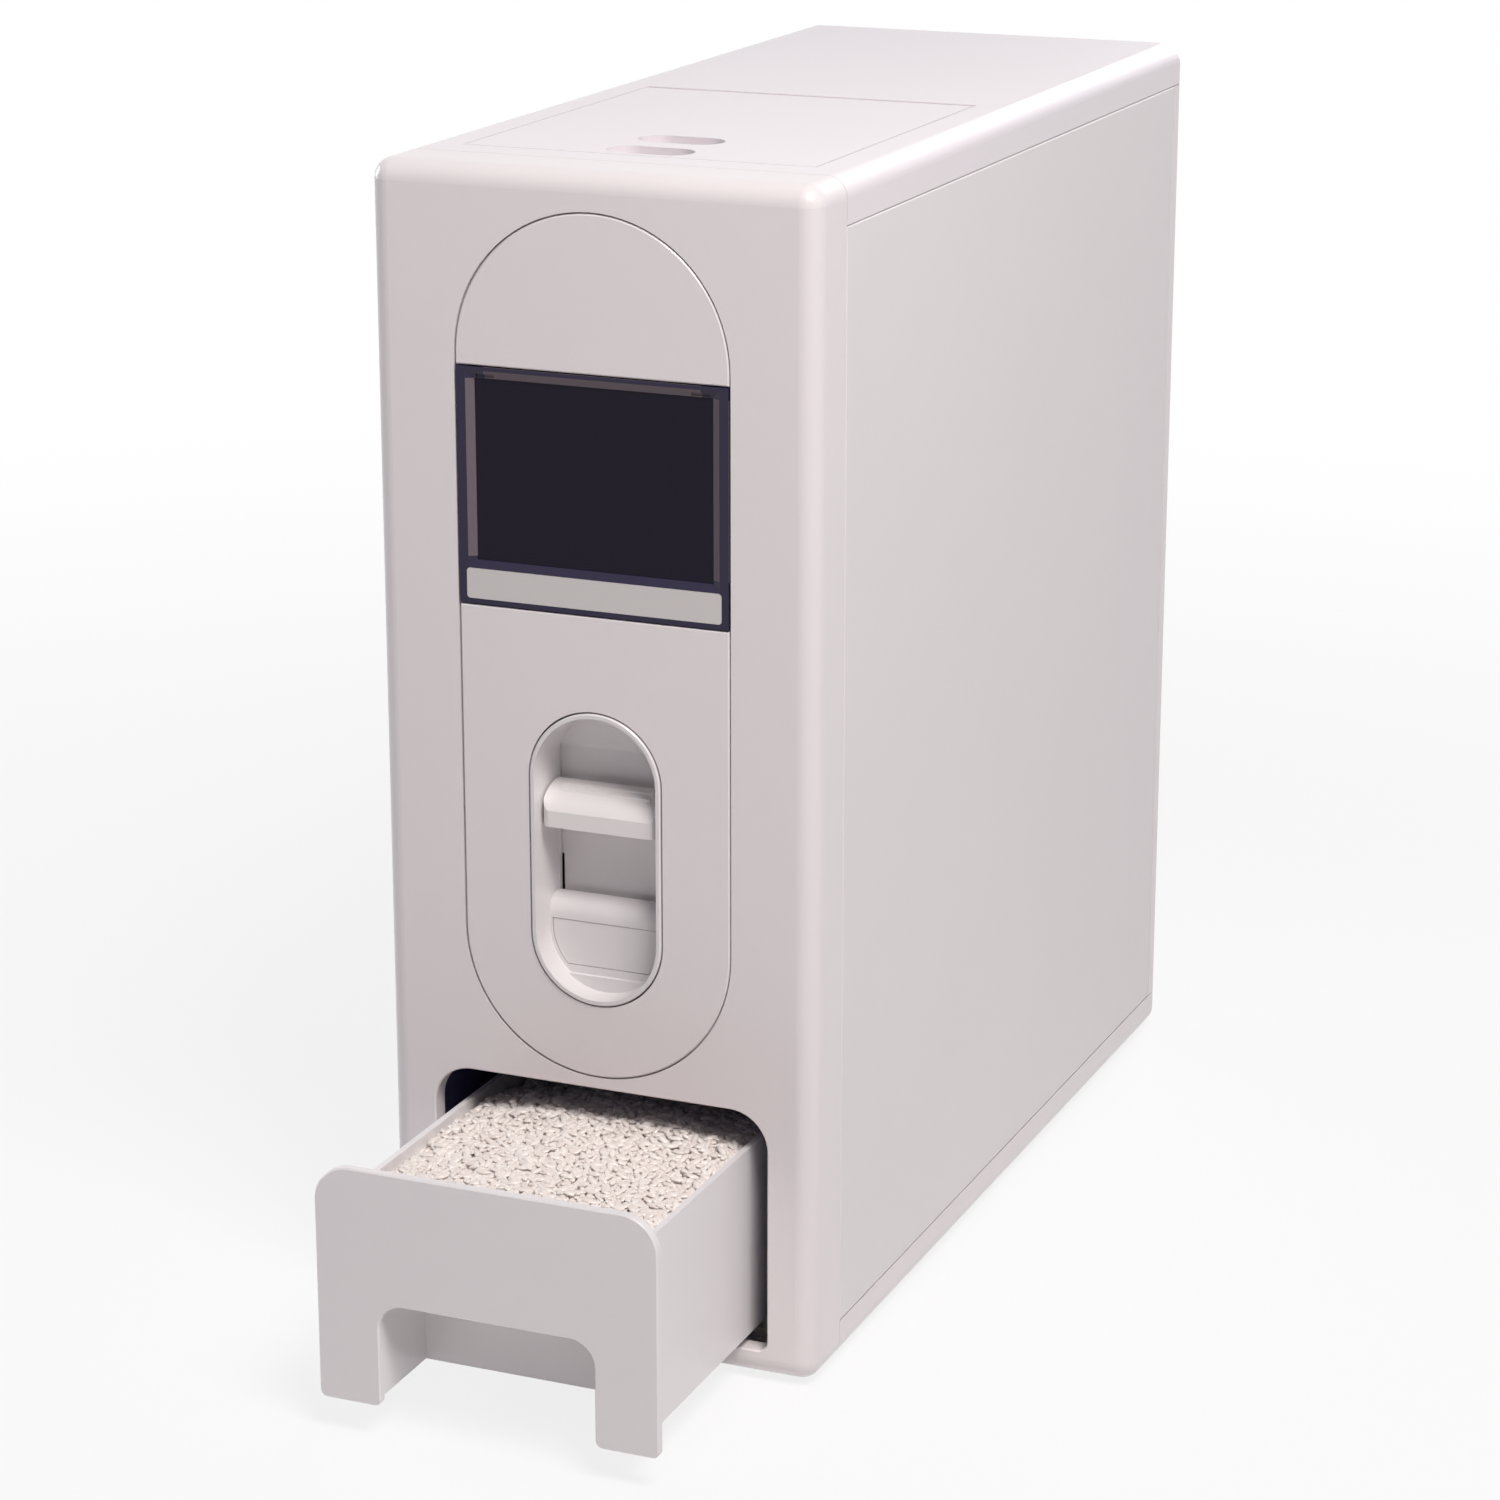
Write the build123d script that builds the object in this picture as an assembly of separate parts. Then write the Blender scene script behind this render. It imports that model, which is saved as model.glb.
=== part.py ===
from build123d import *

import math
import os

# Counter-top rice dispenser with a press lever, a metering drum and a pull-out drawer.
# Millimetres, +Z up, standing on its feet at Z = 0, the user at -Y.
# The pieces are modelled with Y = 0 on the cabinet's front face and are moved at the end, so
# that the origin lies under the middle of the whole object with its drawer out as at rest.

# ---------------------------------------------------------------- driving dimensions
# Cabinet
width = 160.0
height = 414.0            # floor to lid
depth = 390.0             # front face to back face
wall = 2.5                # outer mouldings
edge_r = 7.0              # rounding of the cabinet's edges
seam = 0.3                # gap between neighbouring mouldings
lip = 1.5                 # thickness of the locating lips behind the seams
lip_reach = 3.0           # how far a lip runs past its seam
lip_gap = 0.2             # slip fit of a lip
fascia_depth = 24.0       # how far the front moulding wraps round the sides
cap_height = 16.0         # top moulding, down the sides
base_height = 14.0        # bottom moulding, up the sides
back_return = 12.0        # back panel, round the rear corners
foot_height = 2.0         # ground clearance
foot_width = 14.0         # across; rectangular pads
foot_length = 22.0
foot_seat = 1.0           # depth of the foot's recess
foot_slip = 0.2           # between a pad and its recess
foot_inset_x = 18.0
foot_inset_front = 40.0
foot_inset_back = 20.0

# Face panel: two halves of a stadium, above and below the window
panel_half = 49.0
panel_foot = 4.5          # from the drawer opening up to the panel
panel_head = 13.5         # from the panel up to the cabinet's top
panel_groove = 0.6        # dark line round the panel
panel_chamfer = 0.5
panel_ledge = 3.0         # seat behind the panel's rim
panel_seat = 2.0          # thickness of that seat

# Window
window_head = 66.5        # from the window up to the cabinet's top
window_height = 81.0
window_band = 3.3         # flat border, then a bevel of the next width
window_bevel = 2.8
window_bevel_depth = 1.5
window_foot = 15.0        # taller border below, which carries the strip
window_collar = 5.0       # frame depth
lens_thickness = 2.0
strip_height = 10.4
strip_margin = 1.9
strip_depth = 0.9

# Lever and its recess; heights are from the centre of the recess's lower arc
recess_half = 24.0
recess_rise = 1.0         # that centre, above the panel's own
recess_height = 55.3      # between the centres of the two arcs
recess_rim = 1.6
recess_edge = 0.4         # chamfer of the rim
recess_proud = 0.6
recess_depth = 16.0
recess_draft = 1.1
bezel_back = 2.0
slot_half = 21.0          # window in the recess's back, for the lever
slot_low = 9.5
slot_high = 62.5
shelf_depth = 9.0         # front of the raised block under the slot
shelf_top = 10.5
shelf_round = 7.0
label_low = -14.0
label_high = 2.2
label_depth = 0.8
label_gap = 0.25          # groove round the label plate
ledge_top = -16.7
knob_half = 21.4          # at the front; drafted like the recess
knob_half_back = 20.7
knob_corner_r = 3.2
knob_low = 37.0
knob_lip = 5.7            # upright front face
knob_rise = 8.0           # from that face up to the knob's back
knob_front = 2.0          # behind the front face
knob_ribs = (8.0, 11.0)   # grip ribs, behind the front face
knob_stem_inset = 3.5
lever_travel = 25.0
slide_thickness = 2.5
slide_gap = 0.3
slide_half = 24.0
slide_stem_half = 20.2
guide_wall = 2.0
guide_low = 34.5
guide_above = 3.0         # guide's top over the slide's

# Metering drum: 180 ml to a stroke
drum_r = 30.0
drum_wall = 2.0
drum_half = 39.0
drum_clearance = 1.25     # between housing and return spring
drum_gap = 0.5            # between drum and housing
pocket_half_angle = 45.0
housing_wall = 2.5
throat_half_y = 21.0
throat_half_x = 36.0
shaft_r = 4.5
shaft_clearance = 0.06
gear_module = 1.0
pinion_teeth = 16
gear_width = 7.0
gear_gap = 10.5           # housing to pinion
pressure_angle = 20.0
flank_steps = 2           # straight runs to an involute flank
backlash = 0.2
spout_wall = 2.0
spout_clearance = 5.5     # above the drawer's rim

# Return spring, hidden behind the recess
spring_outer_r = 4.25
spring_x = -33.0
spring_behind = 5.2       # axis behind the slide's front
spring_high = 22.5        # its top, from the recess's lower arc centre
spring_length = 52.0

# Drawer bay and drawer
opening_margin = 17.4     # from the cabinet's side
opening_low_z = 11.7
opening_high_z = 99.0
opening_top_r = 14.0
opening_low_r = 3.5
opening_edge = 0.5        # chamfer round its front
opening_reveal = 7.0
drawer_pull = 90.0        # how far out it stands at rest
drawer_length = 205.0
front_clearance = 0.6
front_top_gap = 2.8
front_foot_gap = 0.5
front_thickness = 3.0
front_edge = 0.5          # chamfer round the drawer front
front_low_r = 2.5
front_top_r = 13.0
notch_half = 39.3
notch_high = 37.2
notch_r = 9.0
pocket_depth = 33.5
drawer_inset = 8.0        # box narrower than the opening, on each side
drawer_wall = 2.2
drawer_floor_rise = 3.3   # box above the foot of the front
drawer_rim_drop = 11.7    # box below the top of the front
drawer_corner_r = 5.0
deck_thickness = 2.4
bay_margin = 3.9          # bay wider than the opening, on each side
bay_tail = 28.0           # bay longer than the closed drawer
runner_gap = 0.3
runner_side_gap = 0.4
buffer_length = 5.0
buffer_half = 5.0
stop_inset = 9.6          # bracket narrower than the drawer box, on each side

# Hopper
hopper_wall = 2.0
hopper_gap = 2.5          # to the cabinet's inner walls
hopper_front = 8.0
hopper_rim_drop = 6.0
hopper_corner_r = 8.0
hopper_brow_gap = 2.9     # from the lever's guide to the wall that slopes back over it
floor_slope = 0.5         # rise over run of the hopper's floor
floor_step = 4.0          # from the throat's foot up to the floor
side_rise = 60.0          # height over which the sides close in on the throat
support_foot = 12.0       # upright, ahead of the deck's back end
support_thickness = 3.0
support_rail = 12.0       # width of the frame's bars
support_gap = 0.3
gasket = 2.0
flange = 2.5
flange_margin = 6.0

# Lid
lid_margin = 16.7         # from the cabinet's side
lid_front_y = 38.6
lid_gap = 0.5
hinge_y = 187.6
hinge_r = 3.0
hinge_rear_gap = 0.4
pin_r = 1.2
pin_grip = 6.0
ledge_thickness = 2.5
ledge_reach = 3.4
ledge_front_reach = 1.6
lid_seal = 1.2
skirt = 1.7
skirt_drop = 5.0
finger_length = 30.8
finger_width = 15.6
finger_depth = 9.0
finger_cove = 2.4         # slope round the foot of a finger well
finger_wall = 1.6
finger_first_y = 49.6
finger_pitch = 25.4

# ---------------------------------------------------------------- worked-out places
body_low_z = foot_height
inner_half = width / 2 - wall
inner_low_z = body_low_z + wall
inner_top_z = height - wall
base_seam_z = body_low_z + base_height
cap_seam_z = height - cap_height
side_start = fascia_depth + seam
side_end = depth - back_return
panel_low_z = opening_high_z + panel_foot + panel_half
panel_high_z = height - panel_head - panel_half
window_high_z = height - window_head
window_low_z = window_high_z - window_height
recess_low_z = panel_low_z + recess_rise
recess_high_z = recess_low_z + recess_height
slot_low_z = recess_low_z + slot_low
slot_high_z = recess_low_z + slot_high
shelf_top_z = recess_low_z + shelf_top
label_low_z = recess_low_z + label_low
label_high_z = recess_low_z + label_high
ledge_top_z = recess_low_z + ledge_top
knob_low_z = recess_low_z + knob_low
guide_low_z = recess_low_z + guide_low
opening_half = width / 2 - opening_margin
drawer_half = opening_half - drawer_inset
stop_half = drawer_half - stop_inset
bay_half = opening_half + bay_margin
bay_length = drawer_length + bay_tail
lid_half = width / 2 - lid_margin
deck_low_z = opening_high_z + 0.6
deck_top_z = deck_low_z + deck_thickness
chute_flange = 2.0
housing_low_z = deck_top_z + chute_flange
housing_r = drum_r + drum_gap + housing_wall
drum_z = housing_low_z + housing_r + 3.0
housing_top_z = drum_z + housing_r + 3.0
hopper_low_z = housing_top_z + gasket
hopper_half = inner_half - hopper_gap
hopper_back = depth - wall - hopper_gap
hopper_rim_z = height - hopper_rim_drop
slide_front = recess_depth + bezel_back + slide_gap
slide_back = slide_front + slide_thickness
slide_top_z = slot_high_z + lever_travel + 2.0
guide_back = slide_back + slide_gap + guide_wall
guide_top_z = slide_top_z + guide_above
hopper_brow_z = guide_top_z + guide_back + hopper_brow_gap - hopper_front
spring_y = slide_front + spring_behind
spring_high_z = recess_low_z + spring_high
spring_low_z = spring_high_z - spring_length
drum_y = spring_y + spring_outer_r + drum_clearance + housing_r
pitch_r = gear_module * pinion_teeth / 2
end_plate_x = drum_half + 0.3
pinion_x = end_plate_x + housing_wall + gear_gap
rack_y = drum_y - pitch_r
drawer_front_y = -drawer_pull
front_low_z = opening_low_z + front_foot_gap
front_high_z = opening_high_z - front_top_gap
drawer_low_z = front_low_z + drawer_floor_rise
drawer_rim_z = front_high_z - drawer_rim_drop
drawer_back_y = drawer_front_y + drawer_length
origin_y = (depth - drawer_pull) / 2
hinge_z = height - hinge_r
lens_low_z = window_low_z + window_foot
lens_high_z = window_high_z - window_band - window_bevel * 0.3


# ---------------------------------------------------------------- small helpers
def block(x0, x1, y0, y1, z0, z1):
    """A box between two corners."""
    return Pos((x0 + x1) / 2, (y0 + y1) / 2, (z0 + z1) / 2) * Box(x1 - x0, y1 - y0, z1 - z0)


def rect(u0, u1, v0, v1, radius=0.0):
    """A rectangle between two corners, rounded if a radius is given."""
    middle = Pos((u0 + u1) / 2, (v0 + v1) / 2)
    if radius:
        return middle * RectangleRounded(u1 - u0, v1 - v0, radius)
    return middle * Rectangle(u1 - u0, v1 - v0)


def corner_cut(radius):
    """Leg of the straight cut that touches a corner's round of this radius."""
    return radius * (2 - math.sqrt(2))


def cut_rect(u0, u1, v0, v1, radius):
    """A rectangle whose corners are cut straight where a round would run."""
    return chamfer(rect(u0, u1, v0, v1).vertices(), corner_cut(radius))


def polygon(points):
    return make_face(Polyline(*points, close=True))


def along_x(outline, x0, x1):
    """Extrude a (Y, Z) outline from x0 to x1."""
    return extrude(Plane.YZ.offset(x0) * outline, x1 - x0)


def along_y(outline, y0, y1):
    """Extrude an (X, Z) outline from y0 to y1."""
    return extrude(Plane.XZ.offset(-y1) * outline, y1 - y0)


def along_z(outline, z0, z1):
    """Extrude an (X, Y) outline from z0 to z1."""
    return extrude(Plane.XY.offset(z0) * outline, z1 - z0)


def rod_x(radius, x0, x1, y, z):
    """A round bar along X."""
    return along_x(Pos(y, z) * Circle(radius), x0, x1)


def stadium(half, low_z, high_z):
    """An upright slot outline: two half circles joined by straight sides."""
    slot = SlotCenterToCenter(high_z - low_z, 2 * half, rotation=90)
    return Pos(0, (low_z + high_z) / 2) * slot


def both_sides(part):
    """The part and its mirror image across the middle plane."""
    return [part, mirror(part, Plane.YZ)]


pieces = {}


def keep(name, *solids):
    """File a piece, moved to the object's own origin, under its node name."""
    shift = Pos(0, -origin_y, 0)
    moved = [shift * solid for part in solids for solid in part.solids()]
    pieces[name] = moved[0] if len(moved) == 1 else Compound(children=moved)


# ---------------------------------------------------------------- cabinet mouldings
def case_block(inset):
    """The cabinet's outer box, or the same drawn in by an inset."""
    return block(-width / 2 + inset, width / 2 - inset, inset, depth - inset,
                 body_low_z + inset, height - inset)


# round outside; inside, the corners are cut straight, which keeps the walls even
case_shell = fillet(case_block(0).edges(), edge_r)
case_shell -= chamfer(case_block(wall).edges(), corner_cut(edge_r - wall))
far = 2 * max(width, depth, height)


def opening_outline(grow=0.0):
    """The drawer opening: big corners above, small ones below."""
    outline = rect(-opening_half - grow, opening_half + grow,
                   opening_low_z - grow, opening_high_z + grow)
    outline = fillet(outline.vertices().group_by(Axis.Y)[-1], opening_top_r + grow)
    low = outline.vertices().group_by(Axis.Y)[0]
    return fillet(low, opening_low_r + grow)


def lip_outline(outset, low_z, high_z):
    """A ring that fits just inside the case walls, thick by one lip."""
    outer = inner_half + outset
    ring = cut_rect(-outer, outer, inner_low_z - outset, inner_top_z + outset,
                    edge_r - wall + outset)
    inner = inner_half - lip_gap - lip
    ring -= cut_rect(-inner, inner, inner_low_z + lip_gap + lip,
                     inner_top_z - lip_gap - lip, edge_r - wall - lip_gap - lip)
    return ring & rect(-far, far, low_z, high_z)


def front_fascia():
    shell = case_shell & block(-far, far, -1, fascia_depth, 0, far)
    # reveal that turns inwards round the drawer opening
    shell += along_y(opening_outline(2.0), wall / 2, opening_reveal)
    shell -= along_y(opening_outline(), -1, opening_reveal + 1)
    mouth = shell.faces().sort_by(Axis.Y)[0].inner_wires()
    shell = chamfer(mouth[0].edges(), opening_edge)
    # seat of the face panel
    seat_half = panel_half + panel_ledge
    shell += block(-seat_half, seat_half, wall / 2, wall + panel_seat,
                   panel_low_z - seat_half, panel_high_z + seat_half)
    recess = stadium(panel_half + panel_groove, panel_low_z, panel_high_z)
    shell -= along_y(recess, -1, wall)
    shell -= along_y(stadium(panel_half - panel_ledge, panel_low_z, panel_high_z), -1, far)
    # lip that locates the top and side mouldings, left off along the floor
    root = lip_outline(0.0, base_seam_z, far)
    shell += along_y(root, fascia_depth - lip_reach, fascia_depth)
    tongue = lip_outline(-lip_gap, base_seam_z, far)
    return shell + along_y(tongue, fascia_depth - lip_reach, fascia_depth + lip_reach)


def face_panel(low_z, high_z):
    """The part of the stadium between two heights, with a chamfered rim."""
    panel = along_y(stadium(panel_half, panel_low_z, panel_high_z), 0, wall)
    panel &= block(-far, far, -1, wall + 1, low_z, high_z)
    front = panel.faces().sort_by(Axis.Y)[0]
    return chamfer(front.edges(), panel_chamfer)


def upper_face_panel():
    return face_panel(window_high_z + seam, far)


def lower_face_panel():
    hole = stadium(recess_half + panel_groove, recess_low_z, recess_high_z)
    return face_panel(0, window_low_z - seam) - along_y(hole, -1, wall + 1)


def side_panel():
    """The right-hand flat panel, between fascia, base, cap and back panel."""
    panel = block(inner_half, width / 2, side_start, side_end - seam,
                  base_seam_z + seam, cap_seam_z)
    outside = panel.faces().sort_by(Axis.X)[-1]
    return chamfer(outside.edges(), panel_chamfer)


def back_panel():
    panel = case_shell & block(-far, far, side_end, far, base_seam_z + seam, cap_seam_z)
    root = lip_outline(0.0, base_seam_z + 6, cap_seam_z - 6)
    root &= rect(inner_half - 10, far, 0, far) + rect(-far, -inner_half + 10, 0, far)
    panel += along_y(root, side_end, side_end + lip_reach)
    tongue = lip_outline(-lip_gap, base_seam_z + 6, cap_seam_z - 6)
    tongue &= rect(inner_half - 10, far, 0, far) + rect(-far, -inner_half + 10, 0, far)
    return panel + along_y(tongue, side_end - lip_reach, side_end + lip_reach)


def edge_lip(z_from, z_to, root_from, root_to):
    """Side and back lips for the base and the cap: a thick root and a thinner tongue."""
    def ring(outset, z0, z1):
        outer = inner_half + outset
        back = depth - wall + outset
        outline = cut_rect(-outer, outer, 0, back, edge_r - wall + outset)
        inner = inner_half - lip_gap - lip
        inner_back = depth - wall - lip_gap - lip
        outline -= cut_rect(-inner, inner, -edge_r, inner_back, edge_r - wall - lip_gap - lip)
        outline &= rect(-far, far, side_start + lip_reach + edge_r, far)
        return along_z(outline, z0, z1)
    return ring(0.0, root_from, root_to) + ring(-lip_gap, z_from, z_to)


def base_tray():
    tray = case_shell & block(-far, far, side_start, far, 0, base_seam_z)
    tray += edge_lip(base_seam_z - lip_reach, base_seam_z + lip_reach,
                     base_seam_z - lip_reach, base_seam_z)
    for x, y in foot_places:
        tray -= along_z(foot_outline(x, y, foot_slip), 0, body_low_z + foot_seat)
    return tray


def top_cover():
    cover = case_shell & block(-far, far, side_start, far, cap_seam_z + seam, far)
    cover += edge_lip(cap_seam_z - lip_reach, cap_seam_z + seam + lip_reach,
                      cap_seam_z + seam, cap_seam_z + seam + lip_reach)
    hole_half = lid_half + lid_gap
    front = lid_front_y - lid_gap
    rear = hinge_y + hinge_r + hinge_rear_gap
    # frame round the lid opening, with the ledge that the lid's seal rests on
    ledge_top = height - wall - lid_seal
    ledge_low = ledge_top - ledge_thickness
    frame = block(-hole_half - 2.4, hole_half + 2.4, front - 2.4, rear,
                  ledge_low, inner_top_z + wall / 2)
    frame -= block(-hole_half, hole_half, front, far, ledge_top, far)
    frame -= block(-hole_half + ledge_reach, hole_half - ledge_reach,
                   front + ledge_front_reach, far, 0, far)
    frame -= block(-hole_half, hole_half, hinge_y - hinge_r - 1.0, far, 0, far)
    cover += frame
    cover -= block(-hole_half, hole_half, front, rear, ledge_top, far)
    for lug in both_sides(block(hole_half, hole_half + 5, hinge_y - 5, hinge_y + 5,
                                hinge_z - 5, inner_top_z + wall / 2)):
        cover += lug
    return cover - rod_x(pin_r + shaft_clearance, -hole_half - 3, hole_half + 3,
                         hinge_y, hinge_z)


foot_places = [(x, y) for x in (-width / 2 + foot_inset_x, width / 2 - foot_inset_x)
               for y in (foot_inset_front, depth - foot_inset_back)]


def foot_outline(x, y, grow=0.0):
    return Pos(x, y) * Rectangle(foot_width + 2 * grow, foot_length + 2 * grow)


def rubber_feet():
    return [along_z(foot_outline(x, y), 0, foot_height + foot_seat) for x, y in foot_places]


keep("front_fascia", front_fascia())
keep("upper_face_panel", upper_face_panel())
keep("lower_face_panel", lower_face_panel())
right_panel, left_panel = both_sides(side_panel())
keep("right_side_panel", right_panel)
keep("left_side_panel", left_panel)
keep("back_panel", back_panel())
keep("base_tray", base_tray())
keep("top_cover", top_cover())
keep("rubber_feet", *rubber_feet())


# ---------------------------------------------------------------- window
def window_outline(inset, low_z=window_low_z, high_z=window_high_z):
    return rect(-panel_half + inset, panel_half - inset, low_z + inset, high_z - inset)


def lens_outline(grow=0.0):
    """The clear view through the frame, or the same grown all round."""
    half = panel_half - window_band - window_bevel
    return rect(-half - grow, half + grow, lens_low_z - grow, lens_high_z + grow)


def strip_outline(grow=0.0):
    low = window_low_z + strip_margin
    half = panel_half - 2.7
    return rect(-half - grow, half + grow, low - grow, low + strip_height + grow, 1.2)


def window_frame():
    frame = along_y(window_outline(0.15), 0, wall)
    collar = panel_half - panel_ledge - 0.3
    frame += along_y(rect(-collar, collar, window_low_z + 3, window_high_z - 3),
                     wall, window_collar)
    # bevelled view, then the lens's seat behind it
    mouth = Plane.XZ.offset(0.01) * lens_outline(window_bevel)
    throat = Plane.XZ.offset(-window_bevel_depth) * lens_outline()
    frame -= loft([mouth.face(), throat.face()])
    frame -= along_y(lens_outline(), 0, far)
    frame -= along_y(lens_outline(1.8), window_bevel_depth + 0.4, far)
    frame -= along_y(strip_outline(0.1), -1, strip_depth)
    notch_low = lens_high_z + 0.4
    for notch in both_sides(block(35.5, 42.0, -1, 1.6, notch_low, notch_low + 1.1)):
        frame -= notch
    return frame


def window_lens():
    front = window_bevel_depth + 0.4
    return along_y(lens_outline(1.6), front, front + lens_thickness)


def window_gasket():
    front = window_bevel_depth + 0.4 + lens_thickness
    ring = lens_outline(1.6) - lens_outline(-1.6)
    return along_y(ring, front, hopper_front)


keep("window_frame", window_frame())
keep("window_lens", window_lens())
keep("window_strip", along_y(strip_outline(), 0.1, strip_depth))
keep("window_gasket", window_gasket())


# ---------------------------------------------------------------- lever and its recess
def recess_void():
    """The hollow of the recess, drafted from its rim to its back."""
    mouth_half = recess_half - recess_rim
    mouth = Plane.XZ.offset(recess_proud + 0.01) * stadium(mouth_half, recess_low_z, recess_high_z)
    floor_half = mouth_half - recess_draft
    floor = Plane.XZ.offset(-recess_depth) * stadium(floor_half, recess_low_z, recess_high_z)
    return loft([mouth.face(), floor.face()])


def shelf_outline():
    """(Y, Z) outline of the raised block in the foot of the recess, rounded over on top."""
    low = recess_low_z - recess_half
    back = recess_depth + 0.5
    face = Polyline((back, low), (shelf_depth - 1.5, low), (shelf_depth - 1.5, ledge_top_z),
                    (shelf_depth, ledge_top_z), (shelf_depth, shelf_top_z - shelf_round))
    over = CenterArc((shelf_depth + shelf_round, shelf_top_z - shelf_round),
                     shelf_round, 90, 90)
    top = Polyline((shelf_depth + shelf_round, shelf_top_z), (back, shelf_top_z), (back, low))
    return make_face(face + over + top)


def label_outline(grow=0.0):
    box = rect(-far, far, label_low_z - grow, label_high_z + grow)
    half = recess_half - recess_rim - recess_draft - 0.6
    return box & stadium(half + grow, recess_low_z, recess_high_z)


def lever_bezel():
    void = recess_void()
    cup = along_y(stadium(recess_half, recess_low_z, recess_high_z), -recess_proud,
                  recess_depth + 0.5)
    rim = cup.faces().sort_by(Axis.Y)[0]
    cup = chamfer(rim.edges(), recess_edge) - void
    cup += along_x(shelf_outline(), -recess_half, recess_half) & void
    back_half = slide_half + 5
    plate_top = slide_top_z + 4
    plate_low = recess_low_z - recess_half - 2
    cup += block(-back_half, back_half, recess_depth, recess_depth + bezel_back,
                 plate_low, plate_top)
    cup -= block(-slot_half, slot_half, recess_depth - 0.5, far, slot_low_z, slot_high_z)
    cup -= along_y(label_outline(), shelf_depth - 1, shelf_depth + label_depth)
    # arm and seat of the return spring
    seat_top = spring_low_z
    arm_low = seat_top - 3
    cup += block(spring_x - 6, -back_half + 1, recess_depth, recess_depth + bezel_back,
                 arm_low - 6, seat_top + 8)
    return cup + block(spring_x - 6, spring_x + 6, recess_depth, spring_y + 5.0,
                       arm_low, seat_top)


knob_back = recess_depth - 0.6
knob_top_z = knob_low_z + knob_lip + knob_rise


def crown_height(y):
    """Top of the knob: an arc up from the lip, level where it reaches the recess's back."""
    run = knob_back - knob_front
    radius = (run ** 2 + knob_rise ** 2) / (2 * knob_rise)
    return knob_top_z - radius + math.sqrt(radius ** 2 - (knob_back - y) ** 2)


def lever_knob():
    """Thumb ledge: upright front lip, rounded top and two grip ribs."""
    middle = (knob_front + knob_back) / 2
    profile = Polyline((knob_back, knob_top_z), (knob_back, knob_low_z),
                       (knob_front, knob_low_z), (knob_front, crown_height(knob_front)))
    profile += ThreePointArc((knob_front, crown_height(knob_front)),
                             (middle, crown_height(middle)), (knob_back, knob_top_z))
    plan = polygon([(-knob_half, knob_front), (knob_half, knob_front),
                    (knob_half_back, knob_back), (-knob_half_back, knob_back)])
    plan = fillet(plan.vertices().group_by(Axis.Y)[0], knob_corner_r)
    knob = along_x(make_face(profile), -far, far) & along_z(plan, 0, far)
    rib_half = knob_half_back - 4
    for y in knob_ribs:
        z = crown_height(y)
        rib = polygon([(y - 0.9, z - 1), (y - 0.4, z + 0.4), (y + 0.4, z + 0.5), (y + 0.9, z - 1)])
        knob += along_x(rib, -rib_half, rib_half)
    stem_half = knob_half_back - knob_stem_inset
    return knob + block(-stem_half, stem_half, knob_back - 1, slide_front,
                        knob_low_z + 1, knob_top_z - 1)


def rack_outline():
    """(Y, Z) outline of the rack: straight-flanked teeth that face the pinion."""
    pitch = math.pi * gear_module
    slope = math.tan(math.radians(pressure_angle))
    tip_half = pitch / 4 - backlash / 2 - gear_module * slope
    root_half = pitch / 4 - backlash / 2 + 1.25 * gear_module * slope
    tip_y = rack_y + gear_module
    root_y = rack_y - 1.25 * gear_module
    first = -math.floor((pitch_r + 2) / pitch)
    last = math.ceil((lever_travel + pitch_r) / pitch)
    low_z = drum_z + (first - 0.5) * pitch
    high_z = drum_z + (last + 0.5) * pitch
    points = [(root_y - 4, low_z), (root_y, low_z)]
    for tooth in range(first, last + 1):
        middle = drum_z + tooth * pitch
        points += [(root_y, middle - root_half), (tip_y, middle - tip_half),
                   (tip_y, middle + tip_half), (root_y, middle + root_half)]
    points += [(root_y, high_z), (root_y - 4, high_z)]
    return polygon(points), low_z, high_z


def lever_slide():
    """Plate behind the recess, with the arm that carries the rack."""
    stem_low = slot_low_z - 2
    plate = block(-slide_half, slide_half, slide_front, slide_back, knob_low_z, slide_top_z)
    plate += block(-slide_stem_half, slide_stem_half, slide_front, slide_back,
                   stem_low, knob_low_z)
    rack, rack_low, rack_high = rack_outline()
    web_low = rack_low + 8
    web_high = knob_low_z - 4
    fin_x = pinion_x + gear_width / 2
    plate += block(0, fin_x + 1.5, slide_front, slide_back, stem_low, web_high)
    root_y = rack_y - 1.25 * gear_module
    plate += block(fin_x - 1.5, fin_x + 1.5, slide_front, root_y - 2, web_low, web_high)
    plate += block(fin_x - 4, fin_x + 1.5, slide_front, slide_back, web_low, web_high)
    plate += along_x(rack, pinion_x - 0.5, pinion_x + gear_width + 0.5)
    # ear that rests on the return spring
    plate += block(spring_x - 5, 0, slide_front, slide_back, spring_high_z, web_high)
    ear = block(spring_x - 5, spring_x + 5, slide_front, spring_y + 4.6,
                spring_high_z, spring_high_z + 3)
    return plate + ear


def lever_guide():
    """Channel on the bezel's back that the slide's edges run in."""
    half = slide_half + slide_gap
    front = recess_depth + bezel_back
    guide = block(-half - guide_wall, half + guide_wall, front, guide_back,
                  guide_low_z, guide_top_z)
    guide -= block(-half, half, front - 1, guide_back - guide_wall, 0, far)
    guide -= block(-half + 6, half - 6, front, far, guide_low_z + 8, guide_top_z - 8)
    return guide


def return_spring():
    """The space that the hidden compression spring takes up."""
    return along_z(Pos(spring_x, spring_y) * Circle(spring_outer_r), spring_low_z, spring_high_z)


def label_plate():
    return along_y(label_outline(-label_gap), shelf_depth + 0.2, shelf_depth + label_depth)


keep("lever_bezel", lever_bezel())
keep("label_plate", label_plate())
keep("lever_knob", lever_knob())
keep("lever_slide", lever_slide())
keep("lever_guide", lever_guide())
keep("return_spring", return_spring())


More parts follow.
